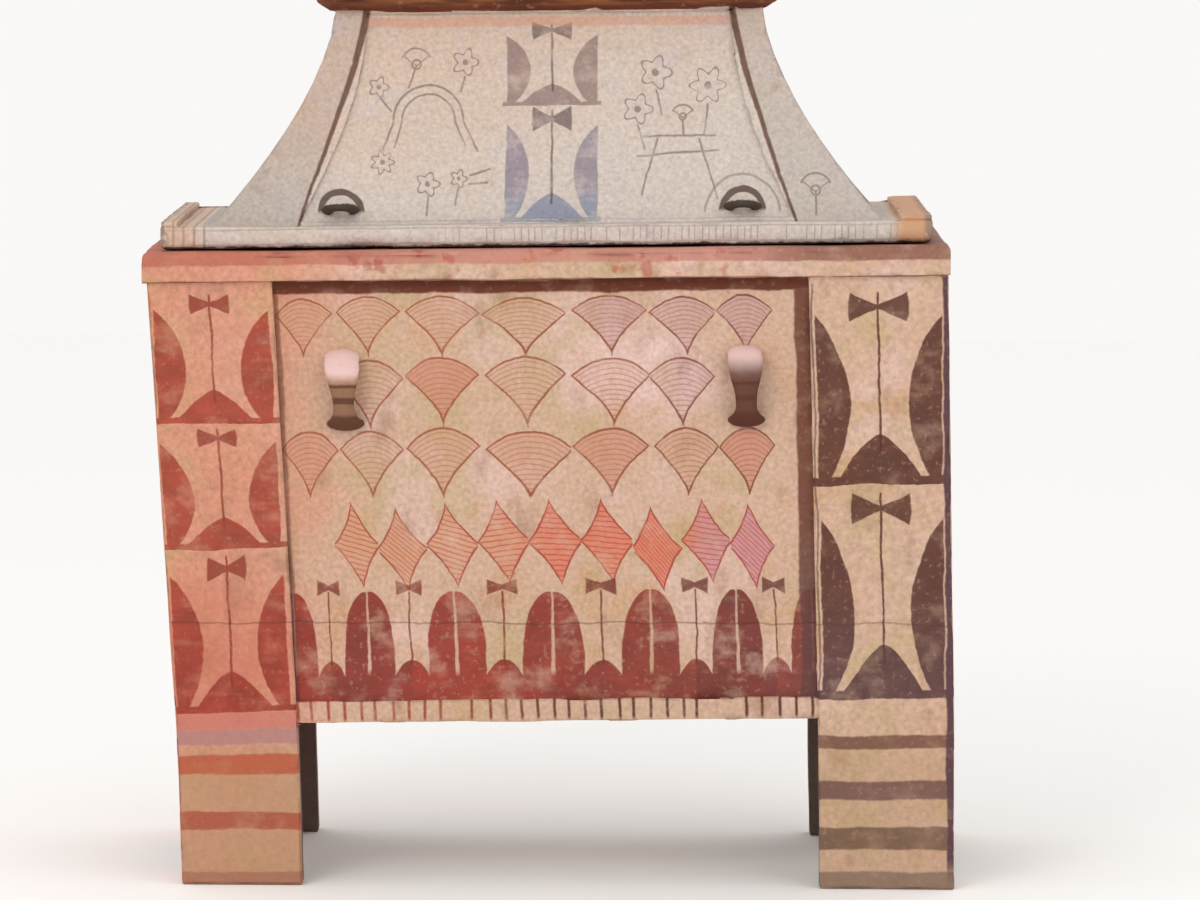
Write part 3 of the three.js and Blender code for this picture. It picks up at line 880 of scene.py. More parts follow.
def pick(mode, rule):
    """Selects the faces or edges that a rule says yes to, and gives their number."""
    mesh = bmesh.from_edit_mesh(bpy.context.edit_object.data)
    bpy.ops.mesh.select_mode(type=mode)
    bpy.ops.mesh.select_all(action="DESELECT")
    found = 0
    for part in mesh.faces if mode == "FACE" else mesh.edges:
        if rule(part):
            part.select = True
            found += 1
    mesh.select_flush_mode()
    bmesh.update_edit_mesh(bpy.context.edit_object.data)
    return found


def body_copy(node, name):
    """A merged copy of a node's mesh, whose flat areas are single faces."""
    source = frame["nodes"][node]
    piece = bpy.data.objects.new(name, source.data.copy())
    bpy.context.scene.collection.objects.link(piece)
    piece.data.materials.clear()
    edit(piece)
    bpy.ops.mesh.select_mode(type="VERT")
    bpy.ops.mesh.select_all(action="SELECT")
    bpy.ops.mesh.remove_doubles(threshold=WELD)
    bpy.ops.mesh.dissolve_limited(angle_limit=FLAT)
    return piece


print("faces that turn less than", round(math.degrees(FLAT), 2), "degrees count as flat")

# %% [markdown]
# The frame's handles and lugs are plain bars. They could be smoothed where they are, but rounder ones
# are modelled below, so the plain ones are cut off the copy and the holes in the wall are closed.

# %% Taking a plain loop off
def take_off(loops):
    """
    Cuts the frame's plain loops off the copy that is being edited and closes the wall behind them. A loop is
    the middle and half size of a box round it, and a rule for the depth up to which the wall is kept.
    """
    for centre, half, keep_depth in loops:
        low, high = centre - half, centre + half

        def on_loop(face):
            middle = face.calc_center_median()
            near = all(low[i] < middle[i] < high[i] for i in range(3))
            return near and abs(middle.y) > keep_depth(middle.z)

        pick("FACE", on_loop)
        bpy.ops.mesh.delete(type="FACE")
    pick("EDGE", lambda edge: edge.is_boundary)
    bpy.ops.mesh.edge_face_add()
    bpy.ops.mesh.select_all(action="SELECT")
    bpy.ops.mesh.dissolve_limited(angle_limit=FLAT)


print("loops to take off the chest and the lid:", 4 * len(HANDLE_XS))

# %% [markdown]
# No edge of old clay is sharp, so the outward ones get a small bevel. Cuts by planes then give the
# surface enough points to be uneven. Subdividing would do that too, but planes give even squares on
# large and small faces alike.

# %% Worn edges and a grid of cuts
EDGE_ANGLE = math.radians(48)


def grid(low, high, spacing):
    """Cuts the mesh that is being edited by planes a spacing apart along the three axes."""
    for axis in range(3):
        count = int((high[axis] - low[axis]) / spacing)
        normal = [float(axis == i) for i in range(3)]
        for i in range(count):
            place = Vector(low)
            place[axis] += (i + 0.5) * (high[axis] - low[axis]) / count
            bpy.ops.mesh.select_all(action="SELECT")
            bpy.ops.mesh.bisect(plane_co=place, plane_no=normal)
    bpy.ops.mesh.select_all(action="SELECT")
    bpy.ops.mesh.remove_doubles(threshold=SLIVER)
    bpy.ops.mesh.select_all(action="DESELECT")


def is_sharp(edge):
    return edge.is_convex and len(edge.link_faces) == 2 and edge.calc_face_angle() > EDGE_ANGLE


def soften_edges(width):
    """Bevels the sharp outward edges of the mesh that is being edited."""
    count = pick("EDGE", is_sharp)
    bpy.ops.mesh.bevel(offset=width, segments=2, profile=0.6, clamp_overlap=False)
    print("bevelled", count, "edges")


print("edges sharper than", round(math.degrees(EDGE_ANGLE)), "degrees are bevelled")

# %% [markdown]
# A slab that was beaten flat by hand has broad waves, and its edges waver and have lost chips.
# Sculpting could show that, but noise does it evenly over every face. Flat faces move by about a
# millimetre and edges by up to about ten, nearly all of it inwards, so that the piece stays inside the
# frame's box. The feet stay on the floor.

# %% Uneven clay
LIE_BACK = 1.2  # millimetres by which a flat face lies back, so that its waves stay inside the frame's box
SHARPNESS = 0.35  # how far apart the directions of two faces are where an edge begins to wear


def wobble(spot, per_metre, shift):
    """Smooth noise from about -1 to 1 at a place, with a number of swings per metre."""
    return noise.noise(spot * per_metre + Vector(shift))


def edge_bend(mesh):
    """For each point, how much the faces that meet there turn: 0 on a flat stretch."""
    bend = [0.0] * len(mesh.vertices)
    last = [None] * len(mesh.vertices)
    for polygon in mesh.polygons:
        facing = polygon.normal.copy()
        for vertex in polygon.vertices:
            if last[vertex]:
                bend[vertex] = max(bend[vertex], (last[vertex] - facing).length)
            last[vertex] = facing
    return bend


def depth_of_wear(spot):
    """How deep an edge is worn at a place: a wavering line, a ragged one and a few large chips."""
    wavering = max(wobble(spot, 22, (3, 1, 6)), 0) * 4.0 + max(wobble(spot, 8, (1, 8, 2)), 0) * 3.0
    ragged = max(wobble(spot, 55, (2, 9, 4)) - 0.05, 0) * 2.2
    chips = max(wobble(spot, 17, (5, 5, 8)) - 0.34, 0) * 18
    return (wavering + ragged + chips) * MM


def roughen(piece):
    """Moves the points of a clay body: slab waves, worn edges and chips. Feet stay on the floor."""
    mesh = piece.data
    bend = edge_bend(mesh)
    outward = [vertex.normal.copy() for vertex in mesh.vertices]
    moved = []
    for vertex in mesh.vertices:
        spot = vertex.co.copy()
        out = (wobble(spot, 5, (0, 0, 0)) * 1.3 + wobble(spot, 16, (7, 3, 1)) * 0.5 - LIE_BACK) * MM
        if bend[vertex.index] > SHARPNESS:
            out -= depth_of_wear(spot)
        move = outward[vertex.index] * out
        if spot.z < 0.5 * MM:
            move.z = 0
        moved.extend(spot + move)
    mesh.vertices.foreach_set("co", moved)
    mesh.update()
    print(piece.name, "has", sum(turn > SHARPNESS for turn in bend), "points on worn edges")


print("a flat face lies back by", LIE_BACK, "mm")

# %% [markdown]
# Paint stops at the edges of posts, panel and rim. One large material could hold all of it, but it
# would be slow and hard to read. A rule instead looks at the middle and direction of each face and
# picks one finish. It is asked before the clay is made uneven, while every face still lies exactly
# where the design has it.

# %% Giving faces their finish
def finished(piece, angle=38):
    """Leaves edit mode and shades the piece smooth, but for edges that turn by more than the angle."""
    bpy.ops.object.mode_set(mode="OBJECT")
    bpy.ops.object.select_all(action="DESELECT")
    piece.select_set(True)
    bpy.context.view_layer.objects.active = piece
    bpy.ops.object.shade_smooth_by_angle(angle=math.radians(angle))
    print(piece.name, "has", sum(len(p.vertices) - 2 for p in piece.data.polygons), "triangles")


def paint(piece, finishes, rule):
    """Gives each face the finish that a rule picks from its middle and its direction."""
    names = list(finishes)
    for name in names:
        piece.data.materials.append(finishes[name])
    for polygon in piece.data.polygons:
        polygon.material_index = names.index(rule(polygon.center, polygon.normal))


def straight(point):
    """The place in the straight design of a point on the clay, near enough to pick a finish."""
    x, z = point.x - MIDDLE, point.z
    for _ in range(6):
        there_x, there_z = settle(x, z)
        x, z = x + point.x - there_x, z + point.z - there_z
    return x, z


rim_end = straight(Vector((cad_high.x, 0, 0.8)))
print("0.8 m up at the right end is", round(rim_end[1], 4), "m in the straight design")

# %% [markdown]
# The chest is one fired body: walls, posts with their legs, rail, floor and rim. It is copied, cleared
# of its plain handles, bevelled and cut.

# %% The chest's clay
GRID = 9 * MM
HANDLE_BOX = Vector((0.04, 0.03, 0.07))  # half the size of a box round a handle


def panel_depth(z):
    return PANEL_Y + 0.1 * MM


chest = body_copy("chest", "chest_body")
loops = []
for x in HANDLE_XS:
    for facing in (-1, 1):
        x_here, z_here = settle(x, HANDLE_Z)
        centre = Vector((x_here, facing * (PANEL_Y + 0.02), z_here))
        loops.append((centre, HANDLE_BOX, panel_depth))
take_off(loops)
soften_edges(2.6 * MM)
grid(chest_low, chest_high, GRID)
bpy.ops.object.mode_set(mode="OBJECT")
print("the chest's grid has", len(chest.data.vertices), "points")

# %% [markdown]
# Now each face of the chest gets its finish, the surface is made uneven, and the body takes the place
# of the frame's plain chest. It rides on the root body, because nothing in this object moves on a
# joint.

# %% The chest's faces
def chest_face(centre, normal):
    """The finish of a face of the chest, from its middle and its direction."""
    x, z = straight(centre)
    outside_x = x < LEFT_EDGE + 0.016 or x > RIGHT_EDGE - 0.016
    outside_y = abs(centre.y) > PANEL_Y - 4 * MM
    if z > RIM_LOW - 1 * MM and (outside_x or outside_y or normal.z > 0.5):
        return "rim"
    if outside_y and normal.y * centre.y > 0 and abs(normal.y) > 0.5:
        if PANEL_LEFT - 1 * MM < x < PANEL_RIGHT + 1 * MM and z > LEG:
            return "rail" if z < PANEL_LOW - 0.5 * MM else "front_panel" if centre.y < 0 else "back_panel"
        return "left_post" if x < 0 else "right_post"
    if outside_x and normal.x * x > 0 and abs(normal.x) > 0.5:
        return "end_wall"
    if outside_y and abs(centre.y) > PANEL_Y - 1 * MM:
        if x < PANEL_LEFT + 5 * MM:
            return "left_post"
        return "right_post" if x > PANEL_RIGHT - 5 * MM else "rail"
    return "bare"


paint(chest, CHEST_FINISHES, chest_face)
roughen(chest)
finished(chest)
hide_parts("chest")
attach(chest, "root")

# %% [markdown]
# Handles and lugs are bars of clay, bent and pressed into the wall at both ends. A curve with a round
# profile could make one, but its width has to change along the way. So a closed cylinder is the start,
# and a rule puts each of its points on the arch. The ends run on into the wall, as they do in real
# clay.

# %% A bar to bend
ROOTED = 0.3  # radians past the wall at each end of a loop


def arch(name, sides, rings, place):
    """
    A closed cylinder whose points a rule puts in place. The rule gets a point's two places across the bar,
    from -1 to 1, and its share of the bar's length, from 0 to 1.
    """
    bpy.ops.object.select_all(action="DESELECT")
    bpy.ops.mesh.primitive_cylinder_add(vertices=sides, radius=1.0, depth=1.0, end_fill_type="NGON")
    piece = bpy.context.object
    piece.name = name
    piece.data.name = name
    bpy.ops.object.mode_set(mode="EDIT")
    pick("EDGE", lambda edge: abs(edge.verts[0].co.z - edge.verts[1].co.z) > 0.5)
    bpy.ops.mesh.subdivide(number_cuts=rings - 1)
    bpy.ops.object.mode_set(mode="OBJECT")
    for vertex in piece.data.vertices:
        spot = vertex.co
        vertex.co = place(spot.x, spot.y, spot.z + 0.5)
    piece.data.update()
    edit(piece)
    bpy.ops.mesh.select_all(action="SELECT")
    bpy.ops.mesh.normals_make_consistent(inside=False)
    return piece


def bent(x, z, y_root, facing, along, out, span, reach, width, thickness):
    """The rule for arch that bends a bar into a loop on a wall. Its ends run on into the wall."""
    side = out.cross(along)

    def place(a, b, s):
        turn = -ROOTED + (math.pi + 2 * ROOTED) * s
        radial = (along * (-math.cos(turn) * reach) + out * (math.sin(turn) * span / 2)).normalized()
        ripple = 1 + 0.05 * noise.noise(Vector((a * 2, b * 2, s * 9 + x * 40)))
        offset = (radial * (a * thickness(s) / 2) + side * (b * width(s) / 2)) * ripple
        point = along * (-math.cos(turn) * span / 2) + out * (math.sin(turn) * reach) + offset
        there_x, there_z = settle(x + point.x, z + point.z)
        return Vector((there_x, facing * y_root + point.y, there_z))

    return place


print("a loop's ends turn", round(math.degrees(ROOTED)), "degrees into the wall")

# %% [markdown]
# A handle is broad at its foot, narrow at its waist and broad again at its top, and a little thicker
# near the wall. Two smooth blends give those widths, because clay that is pulled by hand has no sudden
# step.

# %% The handles' strap
WAIST = 0.026


def blend_value(low, high, share):
    """Goes smoothly from low to high as the share goes from 0 to 1."""
    share = min(max(share, 0), 1)
    return low + (high - low) * share * share * (3 - 2 * share)


def handle_width(s):
    """The strap's width from its foot, 0, to its top, 1: a broad foot, a narrow waist and a broad top."""
    if s < 0.36:
        return blend_value(WAIST, 0.047, (0.36 - s) / 0.26)
    return blend_value(WAIST, 0.043, (s - 0.40) / 0.30)


def handle_thickness(s):
    return 0.0135 + 0.006 * abs(2 * s - 1) ** 2


print("the strap is", [round(handle_width(s), 3) for s in (0, 0.38, 1)], "m wide at its foot, waist and top")

# %% [markdown]
# The top of each handle has a pale painted highlight, below it the strap is brown, partly paint and partly
# painted shade, and dark rings run round its waist and foot. The rings follow height alone, because the
# brush went round the strap at one height.

# %% Finish of the handles
def handle_finish(name):
    """Painted highlight on top, brown paint and painted shade below, dark rings round waist and foot."""
    finish = Finish(name)
    colour = chest_ground(finish)
    _, wander_z = finish.wander(0.02, 1.6)
    z = finish.z + wander_z
    right = ramp(finish.x, -60, 60)
    # pale is a painted highlight: the top of the strap is painted light where the light falls on it
    pale = ramp(z + (finish.clouds(0.012) - 0.5) * 10, 634, 650)
    colour = finish.mix(colour, rgb(226, 192, 190), pale * 0.75)
    rings = either(band(z, 629, 633), band(z, 609, 617), inside(z - 594, 3.0))
    # brown below the top: partly paint, partly painted shade on the strap's lower side
    colour = finish.mix(colour, rgb(122, 80, 54), ramp(z, 648, 628) * 0.85)
    colour = finish.mix(colour, rgb(74, 40, 26), rings * 0.8)
    colour = finish.mix(colour, rgb(84, 42, 30), both(right, ramp(z, 668, 640)) * 0.85)
    return finish.done(colour, finish.clouds(0.01) * 0.3 + 0.5, grain(finish), HANDLE_RELIEF)


HANDLE_CLAY = handle_finish("handle_clay")

# %% [markdown]
# Two handles stand on the front and two on the back, upright, so that a cord or fingers fit behind
# them. The same bar is bent four times, and each copy gets a slightly different ripple from its place.

# %% Four handles
for number, (x, facing) in enumerate((x, facing) for facing in (-1, 1) for x in HANDLE_XS):
    place = bent(
        x, HANDLE_Z, PANEL_Y, facing, Vector((0, 0, 1)), Vector((0, facing, 0)), HANDLE_SPAN, HANDLE_REACH,
        handle_width, handle_thickness)
    handle = arch(f"chest_handle_{number + 1}", 28, 44, place)
    handle.data.materials.append(HANDLE_CLAY)
    finished(handle, 60)
    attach(handle, "root")

# %% [markdown]
# The lid's front field has thin line figures. They could be modelled as threads, but they are paint, so
# straight strokes, rings and half rings are masks again.

# %% Strokes and rings
STROKE_HALF, RING_HALF = 1.3, 1.2  # half widths in millimetres


def stroke(x, z, start, end, width=STROKE_HALF):
    """A straight brush line between two points, in millimetres."""
    (ax, az), (bx, bz) = start, end
    dx, dz = bx - ax, bz - az
    long = math.hypot(dx, dz)
    along = ((x - ax) * (dx / long)) + ((z - az) * (dz / long))
    beside = abs((x - ax) * (dz / long) - (z - az) * (dx / long))
    past = abs(along - long / 2) - long / 2
    return inside(most(beside - width, past), 0.8)


def ring(x, z, middle, radius, width=RING_HALF):
    """A drawn circle."""
    u, v = x - middle[0], z - middle[1]
    return inside(abs((u * u + v * v) ** 0.5 - radius) - width, 0.8)


def painted_arch(x, z, middle, radius, width=4.0):
    """The upper half of a drawn circle."""
    return both(ring(x, z, middle, radius, width), ramp(z, middle[1] - 3, middle[1] + 3))


print("strokes are", 2 * STROKE_HALF, "mm wide and rings", 2 * RING_HALF, "mm")

# %% [markdown]
# Fan-shaped flowers and lobed flower heads come back several times in this kind of painting. Each is a
# rule on the distance and direction from its middle, so that one function can draw it in any size.

# %% Drawn flowers
def flower(x, z, foot, middle, size):
    """A fan-shaped flower on a stem: an arc over two curved sides, with a ring at its heart."""
    u, v = x - middle[0], z - middle[1]
    reach = (u * u + v * v) ** 0.5
    upper = inside(abs(u) - v * 1.5 - size * 0.25)
    arc = both(inside(abs(reach - size) - 1.3, 0.8), upper)
    sides = both(inside(abs(abs(u) - v * 1.3 - size * 0.12) - 1.2, 0.8), inside(reach - size))
    return either(arc, sides, stroke(x, z, foot, middle), ring(x, z, middle, size * 0.28))


def rosette(x, z, middle, size, lobes=5):
    """A drawn flower head: a lobed outline round a dot."""
    u, v = x - middle[0], z - middle[1]
    reach = (u * u + v * v) ** 0.5
    petals = (v.math("ARCTAN2", u) * lobes).math("COSINE")
    outline = inside(abs(reach - size * 0.8 - petals * (size * 0.2)) - 1.2, 0.8)
    return either(outline, inside(reach - size * 0.22))


print("a flower head has five lobes unless it is told otherwise")

# %% [markdown]
# Beside the lid's horns are faint plants, flowers and a table-like figure in thin grey lines. The
# picture shows them too dimly to copy, so these are generic figures of about the same size and place.

# %% Line work of the lid's front field
def lid_figures(x, z):
    """All the thin line work of the lid's front field."""
    right = either(
        rosette(x, z, (112, 962), 19), stroke(x, z, (112, 943), (122, 912)),
        rosette(x, z, (134, 1008), 21), stroke(x, z, (134, 987), (142, 955)),
        rosette(x, z, (200, 992), 23, 6), stroke(x, z, (200, 969), (196, 930)),
        flower(x, z, (170, 930), (168, 952), 15),
        stroke(x, z, (112, 905), (214, 912)),
        stroke(x, z, (116, 928), (210, 930)),
        stroke(x, z, (138, 926), (118, 858)),
        stroke(x, z, (190, 926), (212, 852)),
    )
    left = either(
        flower(x, z, (-176, 990), (-166, 1020), 20),
        rosette(x, z, (-104, 1022), 17), stroke(x, z, (-104, 1005), (-110, 985)),
        rosette(x, z, (-214, 992), 13), stroke(x, z, (-212, 979), (-196, 962)),
        painted_arch(x, z, (-150, 950), 44, 1.4), painted_arch(x, z, (-150, 950), 33, 1.2),
        stroke(x, z, (-194, 950), (-206, 915)), stroke(x, z, (-106, 950), (-88, 912)),
        stroke(x, z, (-183, 950), (-192, 918)), stroke(x, z, (-117, 950), (-104, 920)),
        rosette(x, z, (-206, 900), 15, 7),
        rosette(x, z, (-150, 872), 15), stroke(x, z, (-150, 857), (-152, 834)),
        rosette(x, z, (-112, 880), 11), stroke(x, z, (-112, 869), (-116, 846)),
        stroke(x, z, (-98, 884), (-70, 892)), stroke(x, z, (-100, 874), (-74, 876)),
    )
    return either(left, right)


print("the line work is drawn straight on the field, in millimetres of the straight design")

# %% [markdown]
# The two long sides of the roof are slightly recessed fields. Each has two pairs of horns in the
# middle, grey-brown above and blue-grey below, and a dark line along both corner strips, which is partly
# paint and partly painted shade where the strip steps down to the field. The front one also has the line
# figures.

# %% Finish of the lid's fields
def seam(finish, x, z):
    """The dark line by a corner strip's inner edge, broader towards the cap: paint and painted shade."""
    share = ramp(z, FLANGE_TOP * 1000, ROOF_TOP * 1000, smooth=False)
    edge = positive(1 - share) ** FIELD_CURVE * (FIELD_FLARE * 1000) + FIELD_TOP * 1000
    return inside(abs(abs(x) - edge) - (share * 2.6 + 2.0), 1.4)


def lid_front_finish(name, figures=True):
    """A field of the lid: two pairs of horns one over the other, and beside them the line figures."""
    finish = Finish(name)
    colour = lid_ground(finish)
    x, z = brush(finish, 1.8)
    wear = worn(finish, 1.15)
    count = steps(z, 826, 968, 1072)
    body, fine = horns(x - 5, fraction(count), 62, 124, 25)
    field = both(ramp(z, 826, 829), ramp(z, 1073, 1071), inside(abs(x - 5) - 62, 1.0))
    low_tone = finish.mix(rgb(98, 114, 144), rgb(112, 100, 122), ramp(z, 850, 872))
    tone = finish.mix(low_tone, rgb(118, 92, 92), ramp(z, 945, 975))
    colour = finish.mix(colour, tone, both(body, field, wear) * 0.70)
    colour = finish.mix(colour, rgb(88, 68, 70), both(fine, field, wear) * 0.75)
    if figures:
        colour = finish.mix(colour, rgb(104, 86, 80), both(lid_figures(x, z), wear) * 0.68)
        rims = either(*(painted_arch(x, z, (at * 1000, LUG_Z * 1000 - 4), 25) for at in HANDLE_XS))
        colour = finish.mix(colour, DARK, rims * 0.85)
        colour = finish.mix(colour, rgb(130, 112, 104), painted_arch(x, z, (243, 836), 46, 1.6) * 0.6)
    colour = finish.mix(colour, rgb(96, 62, 48), seam(finish, x, z) * 0.9)
    pinkish = band(z, 1066, 1078)
    colour = finish.mix(colour, rgb(196, 132, 104), pinkish * 0.45)
    return finish.done(colour, matt(finish, 0.62, 0.0), grain(finish), LID_RELIEF)


LID_FINISHES = {
    "front": lid_front_finish("lid_front"),
    "back": lid_front_finish("lid_back", figures=False),
}

# %% [markdown]
# Corner strips frame the fields, and the roof's short ends slope down between them. They share one
# finish, because both are bare but for the dark line, a small fan at the front right and a warmer tint
# near the cap. The whole finish is painted a little darker, and more where it is tan, as painted shade.

# %% Finish of the lid's strips and ends
def lid_strip_finish(name):
    """Corner strips and sloping ends: a dark line along the strips' inner edges, and painted shade."""
    finish = Finish(name)
    colour = lid_ground(finish)
    x, z = brush(finish, 1.2)
    colour = finish.mix(colour, rgb(96, 62, 48), seam(finish, x, z) * 0.9)
    fan = both(flower(x, z, (334, 832), (334, 862), 20), ramp(finish.y, 0, -10))
    colour = finish.mix(colour, rgb(104, 86, 80), fan * 0.6)
    tan = ramp(x + z * 0.3, 60, -140)
    colour = finish.mix(colour, rgb(214, 170, 146), both(tan, ramp(z, 880, 1040)) * 0.6)
    # painted shade: the strips and ends are painted darker all over, and more where they are tan
    colour = finish.shade(colour, tan * -0.08 + 0.86)
    return finish.done(colour, matt(finish, 0.62, 0.0), grain(finish), LID_RELIEF)


LID_FINISHES["strip"] = lid_strip_finish("lid_strip")

# %% [markdown]
# The flange lies on the rim. Its front edge is hatched with short strokes between two thin lines, its
# ends are tan, and its lower edge is painted nearly black as painted shade, where it meets the rim. All of
# that follows height and length, so it is made of bands.

# %% Finish of the flange
HATCH_PITCH = 8.6  # from one short stroke to the next, in millimetres


def flange_finish(name):
    finish = Finish(name)
    colour = lid_ground(finish)
    x, z = brush(finish, 0.9)
    wear = worn(finish)
    count = x * (1 / HATCH_PITCH)
    lot = chance(finish, whole(count), 4.0, 1.0)
    line = inside(abs(fraction(count + (lot - 0.5) * 0.3) - 0.5) * HATCH_PITCH - 0.7, 0.7)
    hatch = both(line, ramp(x, -160, -90), ramp(z, 804, 807), ramp(z, 826, 822), ramp(lot, 0.15, 0.3))
    rails = either(band(z, 803, 805.5, 0.8), band(z, 822, 824, 0.8))
    colour = finish.mix(colour, rgb(138, 122, 116), both(either(hatch, rails * 0.7), wear) * 0.7)
    marks = both(inside(abs(fraction(x * (1 / 13)) - 0.5) * 13 - 1.6, 0.9), ramp(x, -418, -424))
    colour = finish.mix(colour, rgb(126, 84, 66), marks * 0.6)
    ends = ramp(abs(x), 420, 446)
    colour = finish.mix(colour, rgb(196, 150, 116), both(ends, ramp(x, -400, 400) * 0.6 + 0.4))
    grey = both(ramp(abs(x), 464, 472), ramp(finish.clouds(0.012), 0.42, 0.5))
    colour = finish.mix(colour, rgb(120, 110, 106), grey * 0.7)
    # low is painted shade: a dark band along the flange's lower edge, where the gap over the rim is in
    # shadow
    low = ramp(z + (finish.clouds(0.012, 3.0, shift=3.0) - 0.5) * 9, 803.5, 800.5)
    colour = finish.mix(colour, rgb(58, 44, 36), low * 0.9)
    return finish.done(colour, matt(finish, 0.6, 0.0), grain(finish), LID_RELIEF)


LID_FINISHES["flange"] = flange_finish("lid_flange")

# %% [markdown]
# The cap is painted brown all over, dark red under its edge, partly paint and partly painted shade, and
# rubbed in places. Streaks stretched along it look like the strokes of a broad brush.

# %% Finish of the cap
def cap_finish(name):
    finish = Finish(name)
    streaks = finish.clouds(0.03, 4.0, stretch=(0.4, 0.4, 3.0))
    colour = finish.mix(rgb(84, 44, 24), rgb(132, 78, 44), ramp(streaks, 0.35, 0.65))
    # under is partly paint and partly painted shade: the cap's lower edge is painted dark red
    under = ramp(finish.z, ROOF_TOP * 1000 + 9, ROOF_TOP * 1000 + 3)
    colour = finish.mix(colour, rgb(92, 34, 20), under * 0.8)
    rubbed = ramp(finish.clouds(0.015, 3.0, shift=2.0), 0.60, 0.72)
    colour = finish.mix(colour, rgb(170, 122, 90), rubbed * 0.5)
    return finish.done(colour, finish.clouds(0.02) * 0.3 + 0.5, grain(finish), LID_RELIEF)


LID_FINISHES["cap"] = cap_finish("lid_cap")
LID_FINISHES["under"] = bare_finish("lid_underside")

# %% [markdown]
# The lid is one hollow fired body: flange, roof and cap. It goes through the same steps as the chest,
# with a slightly smaller bevel, because its clay is thinner.

# %% The lid's clay
LUG_BOX = Vector((0.028, 0.03, 0.0125))  # half the size of a box round a lug


def field_depth(z):
    return roof_half_depth(z) - FIELD_RECESS + 0.6 * MM


lid = body_copy("lid", "lid_body")
loops = []
for x in HANDLE_XS:
    for facing in (-1, 1):
        x_here, z_here = settle(x, LUG_Z)
        centre = Vector((x_here, facing * (roof_half_depth(LUG_Z) + 0.012), z_here + 0.003))
        loops.append((centre, LUG_BOX, field_depth))
take_off(loops)
soften_edges(2.2 * MM)
grid(lid_low, lid_high, GRID)
bpy.ops.object.mode_set(mode="OBJECT")
print("the lid's grid has", len(lid.data.vertices), "points")

# %% [markdown]
# The rule for the lid has to tell the outer side of a sloping wall from the inner one. It could shoot a
# ray, but the depth and length of the roof at each height are known from the design, so a comparison is
# enough.

# %% The lid's faces
def lid_face(centre, normal):
    """The finish of a face of the lid, from its middle and its direction."""
    x, z = straight(centre)
    if z > ROOF_TOP - 1 * MM:
        return "cap"
    if z < FLANGE_TOP + 0.5 * MM and (abs(centre.y) > 0.19 or abs(x) > 0.45):
        return "flange"
    if abs(x) > 0.43 and z < FLANGE_TOP + 12 * MM:
        return "flange"
    outward_y = normal.y * centre.y > 0 and abs(normal.y) > 0.25
    outward_x = normal.x * x > 0 and abs(normal.x) > 0.25
    half_length = ROOF_TOP_LENGTH + ROOF_FLARE_LENGTH * below_cap(z) ** ROOF_CURVE
    if abs(centre.y) > roof_half_depth(z) - 15 * MM or abs(x) > half_length:
        if not (outward_y or outward_x):
            return "strip"
        recessed = abs(x) < FIELD_TOP + FIELD_FLARE * below_cap(z) ** FIELD_CURVE
        if recessed and abs(normal.y) > 0.3:
            return "front" if centre.y < 0 else "back"
        return "strip"
    return "under"


paint(lid, LID_FINISHES, lid_face)
roughen(lid)
finished(lid)
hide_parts("lid")
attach(lid, "root")

# %% [markdown]
# The lugs are painted dark, and their upward side has a pale painted highlight, where the light falls. It
# follows the direction of the surface, so that the faces that point up are palest.

# %% Finish of the lugs
def lug_finish(name):
    """Dark painted loops whose upward side has a pale painted highlight."""
    finish = Finish(name)
    direction = finish.node("ShaderNodeNewGeometry", {}, {}, "Normal", raw=True)
    up = finish.node("ShaderNodeSeparateXYZ", {}, {"Vector": direction}, 2)
    # rubbed is a painted highlight: faces that point upwards are painted pale, where the light falls
    rubbed = ramp(up + (finish.clouds(0.006) - 0.5) * 0.6, 0.45, 0.80)
    colour = finish.mix(rgb(66, 54, 46), rgb(206, 194, 182), rubbed * 0.85)
    return finish.done(colour, finish.clouds(0.01) * 0.3 + 0.5, grain(finish), HANDLE_RELIEF)


LUG_CLAY = lug_finish("lug_clay")

# %% [markdown]
# Four small loops stand near the lid's lower edge, two on each long side, to tie the lid down with a
# cord. They lean outwards with the roof, so their rule has a tilted direction.

# %% Four lugs
def lug_width(s):
    return 0.012


def lug_thickness(s):
    return 0.012 + 0.004 * abs(2 * s - 1) ** 2


for number, (x, facing) in enumerate((x, facing) for facing in (-1, 1) for x in HANDLE_XS):
    out = Vector((0, facing * math.cos(LUG_TILT), math.sin(LUG_TILT)))
    place = bent(
        x, LUG_Z, roof_half_depth(LUG_Z) - FIELD_RECESS, facing, Vector((1, 0, 0)), out, LUG_SPAN, LUG_REACH,
        lug_width, lug_thickness)
    lug = arch(f"lid_lug_{number + 1}", 20, 36, place)
    lug.data.materials.append(LUG_CLAY)
    finished(lug, 60)
    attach(lug, "root")

# %% [markdown]
# A pale floor and a near-white background stand for a studio. They could be left out, but without a
# floor the chest would have no shadow and seem to float. The floor is stage, which means that it isn't
# part of the object.

# %% Floor and background
bpy.ops.object.select_all(action="DESELECT")
bpy.ops.mesh.primitive_plane_add(size=16, location=(0, 0, -0.0005))
floor = bpy.context.object
floor.name = "studio_floor"
floor_paint = bpy.data.materials.new("studio_floor")
floor_paint.use_nodes = True
floor_shader = floor_paint.node_tree.nodes["Principled BSDF"]
floor_shader.inputs["Base Color"].default_value = rgb(253, 253, 252)
floor_shader.inputs["Roughness"].default_value = 0.9
floor.data.materials.append(floor_paint)

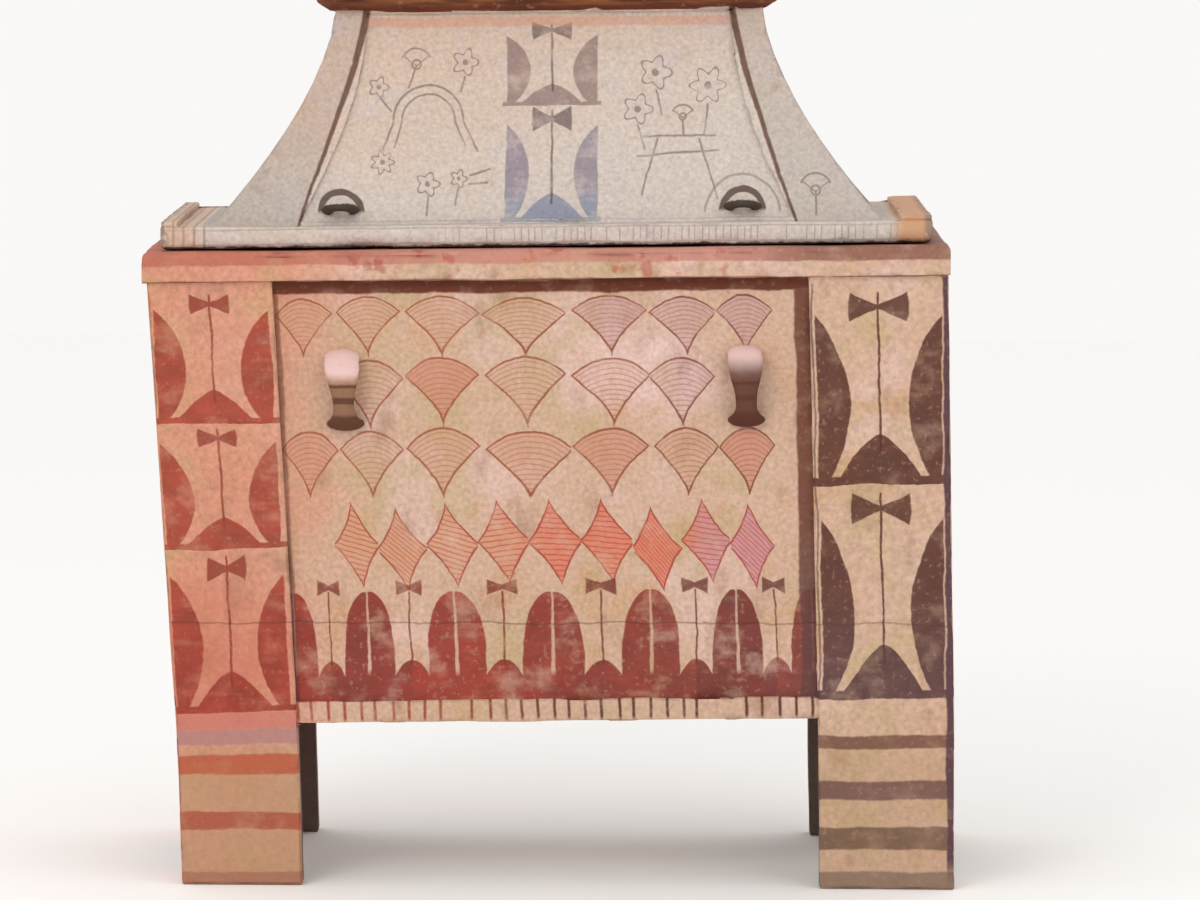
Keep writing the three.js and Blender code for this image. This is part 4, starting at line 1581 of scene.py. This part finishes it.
world = bpy.data.worlds.new("studio")
world.use_nodes = True
background = world.node_tree.nodes["Background"]
background.inputs["Color"].default_value = (1.0, 0.99, 0.98, 1)
background.inputs["Strength"].default_value = 0.95
bpy.context.scene.world = world
bpy.context.scene.view_settings.view_transform = "Standard"
print("background strength", background.inputs["Strength"].default_value)

# %% [markdown]
# The picture has almost no hard shadow, so two large lamps light the chest: a stronger one from the
# upper left and a weak one from the right. A sun lamp would be simpler, but its shadows are too crisp.

# %% Two soft lights
def soft_light(name, place, aim, size, power, tint):
    """A rectangular lamp that looks at a point."""
    lamp = bpy.data.lights.new(name, "AREA")
    lamp.shape = "RECTANGLE"
    lamp.size, lamp.size_y = size
    lamp.energy = power
    lamp.color = tint
    holder = bpy.data.objects.new(name, lamp)
    bpy.context.scene.collection.objects.link(holder)
    holder.location = place
    holder.rotation_euler = (Vector(aim) - Vector(place)).to_track_quat("-Z", "Y").to_euler()
    print(name, "light of", power, "W")


CHEST_MIDDLE = (0, 0, 0.6)
soft_light("key", (-1.6, -3.4, 3.0), CHEST_MIDDLE, (1.8, 1.4), 42, (1.0, 0.97, 0.93))
soft_light("fill", (2.6, -3.2, 1.6), CHEST_MIDDLE, (2.0, 2.0), 10, (1.0, 0.98, 0.97))

# %% [markdown]
# The picture was taken from a little above the lid, straight on, with a long lens. The camera stands
# where the chest's own lines say, turned a fraction of a degree, so that the render can be laid over
# the picture.

# %% Camera
LENS, SENSOR = 181.6, 36.0
CAMERA_PLACE = Vector((MIDDLE + 0.0927, -7.672, 1.313))
CAMERA_YAW, CAMERA_PITCH, CAMERA_ROLL = (math.radians(a) for a in (0.19, 5.86, 0.37))
camera = bpy.data.objects.new("camera", bpy.data.cameras.new("camera"))
bpy.context.scene.collection.objects.link(camera)
camera.data.sensor_width = SENSOR
camera.data.lens = LENS
camera.matrix_world = (
    Matrix.Translation(CAMERA_PLACE)
    @ Matrix.Rotation(CAMERA_YAW, 4, "Z")
    @ Matrix.Rotation(math.pi / 2 - CAMERA_PITCH, 4, "X")
    @ Matrix.Rotation(CAMERA_ROLL, 4, "Z")
)
bpy.context.scene.camera = camera
print("the camera is", round(-CAMERA_PLACE.y, 2), "m in front of the chest")
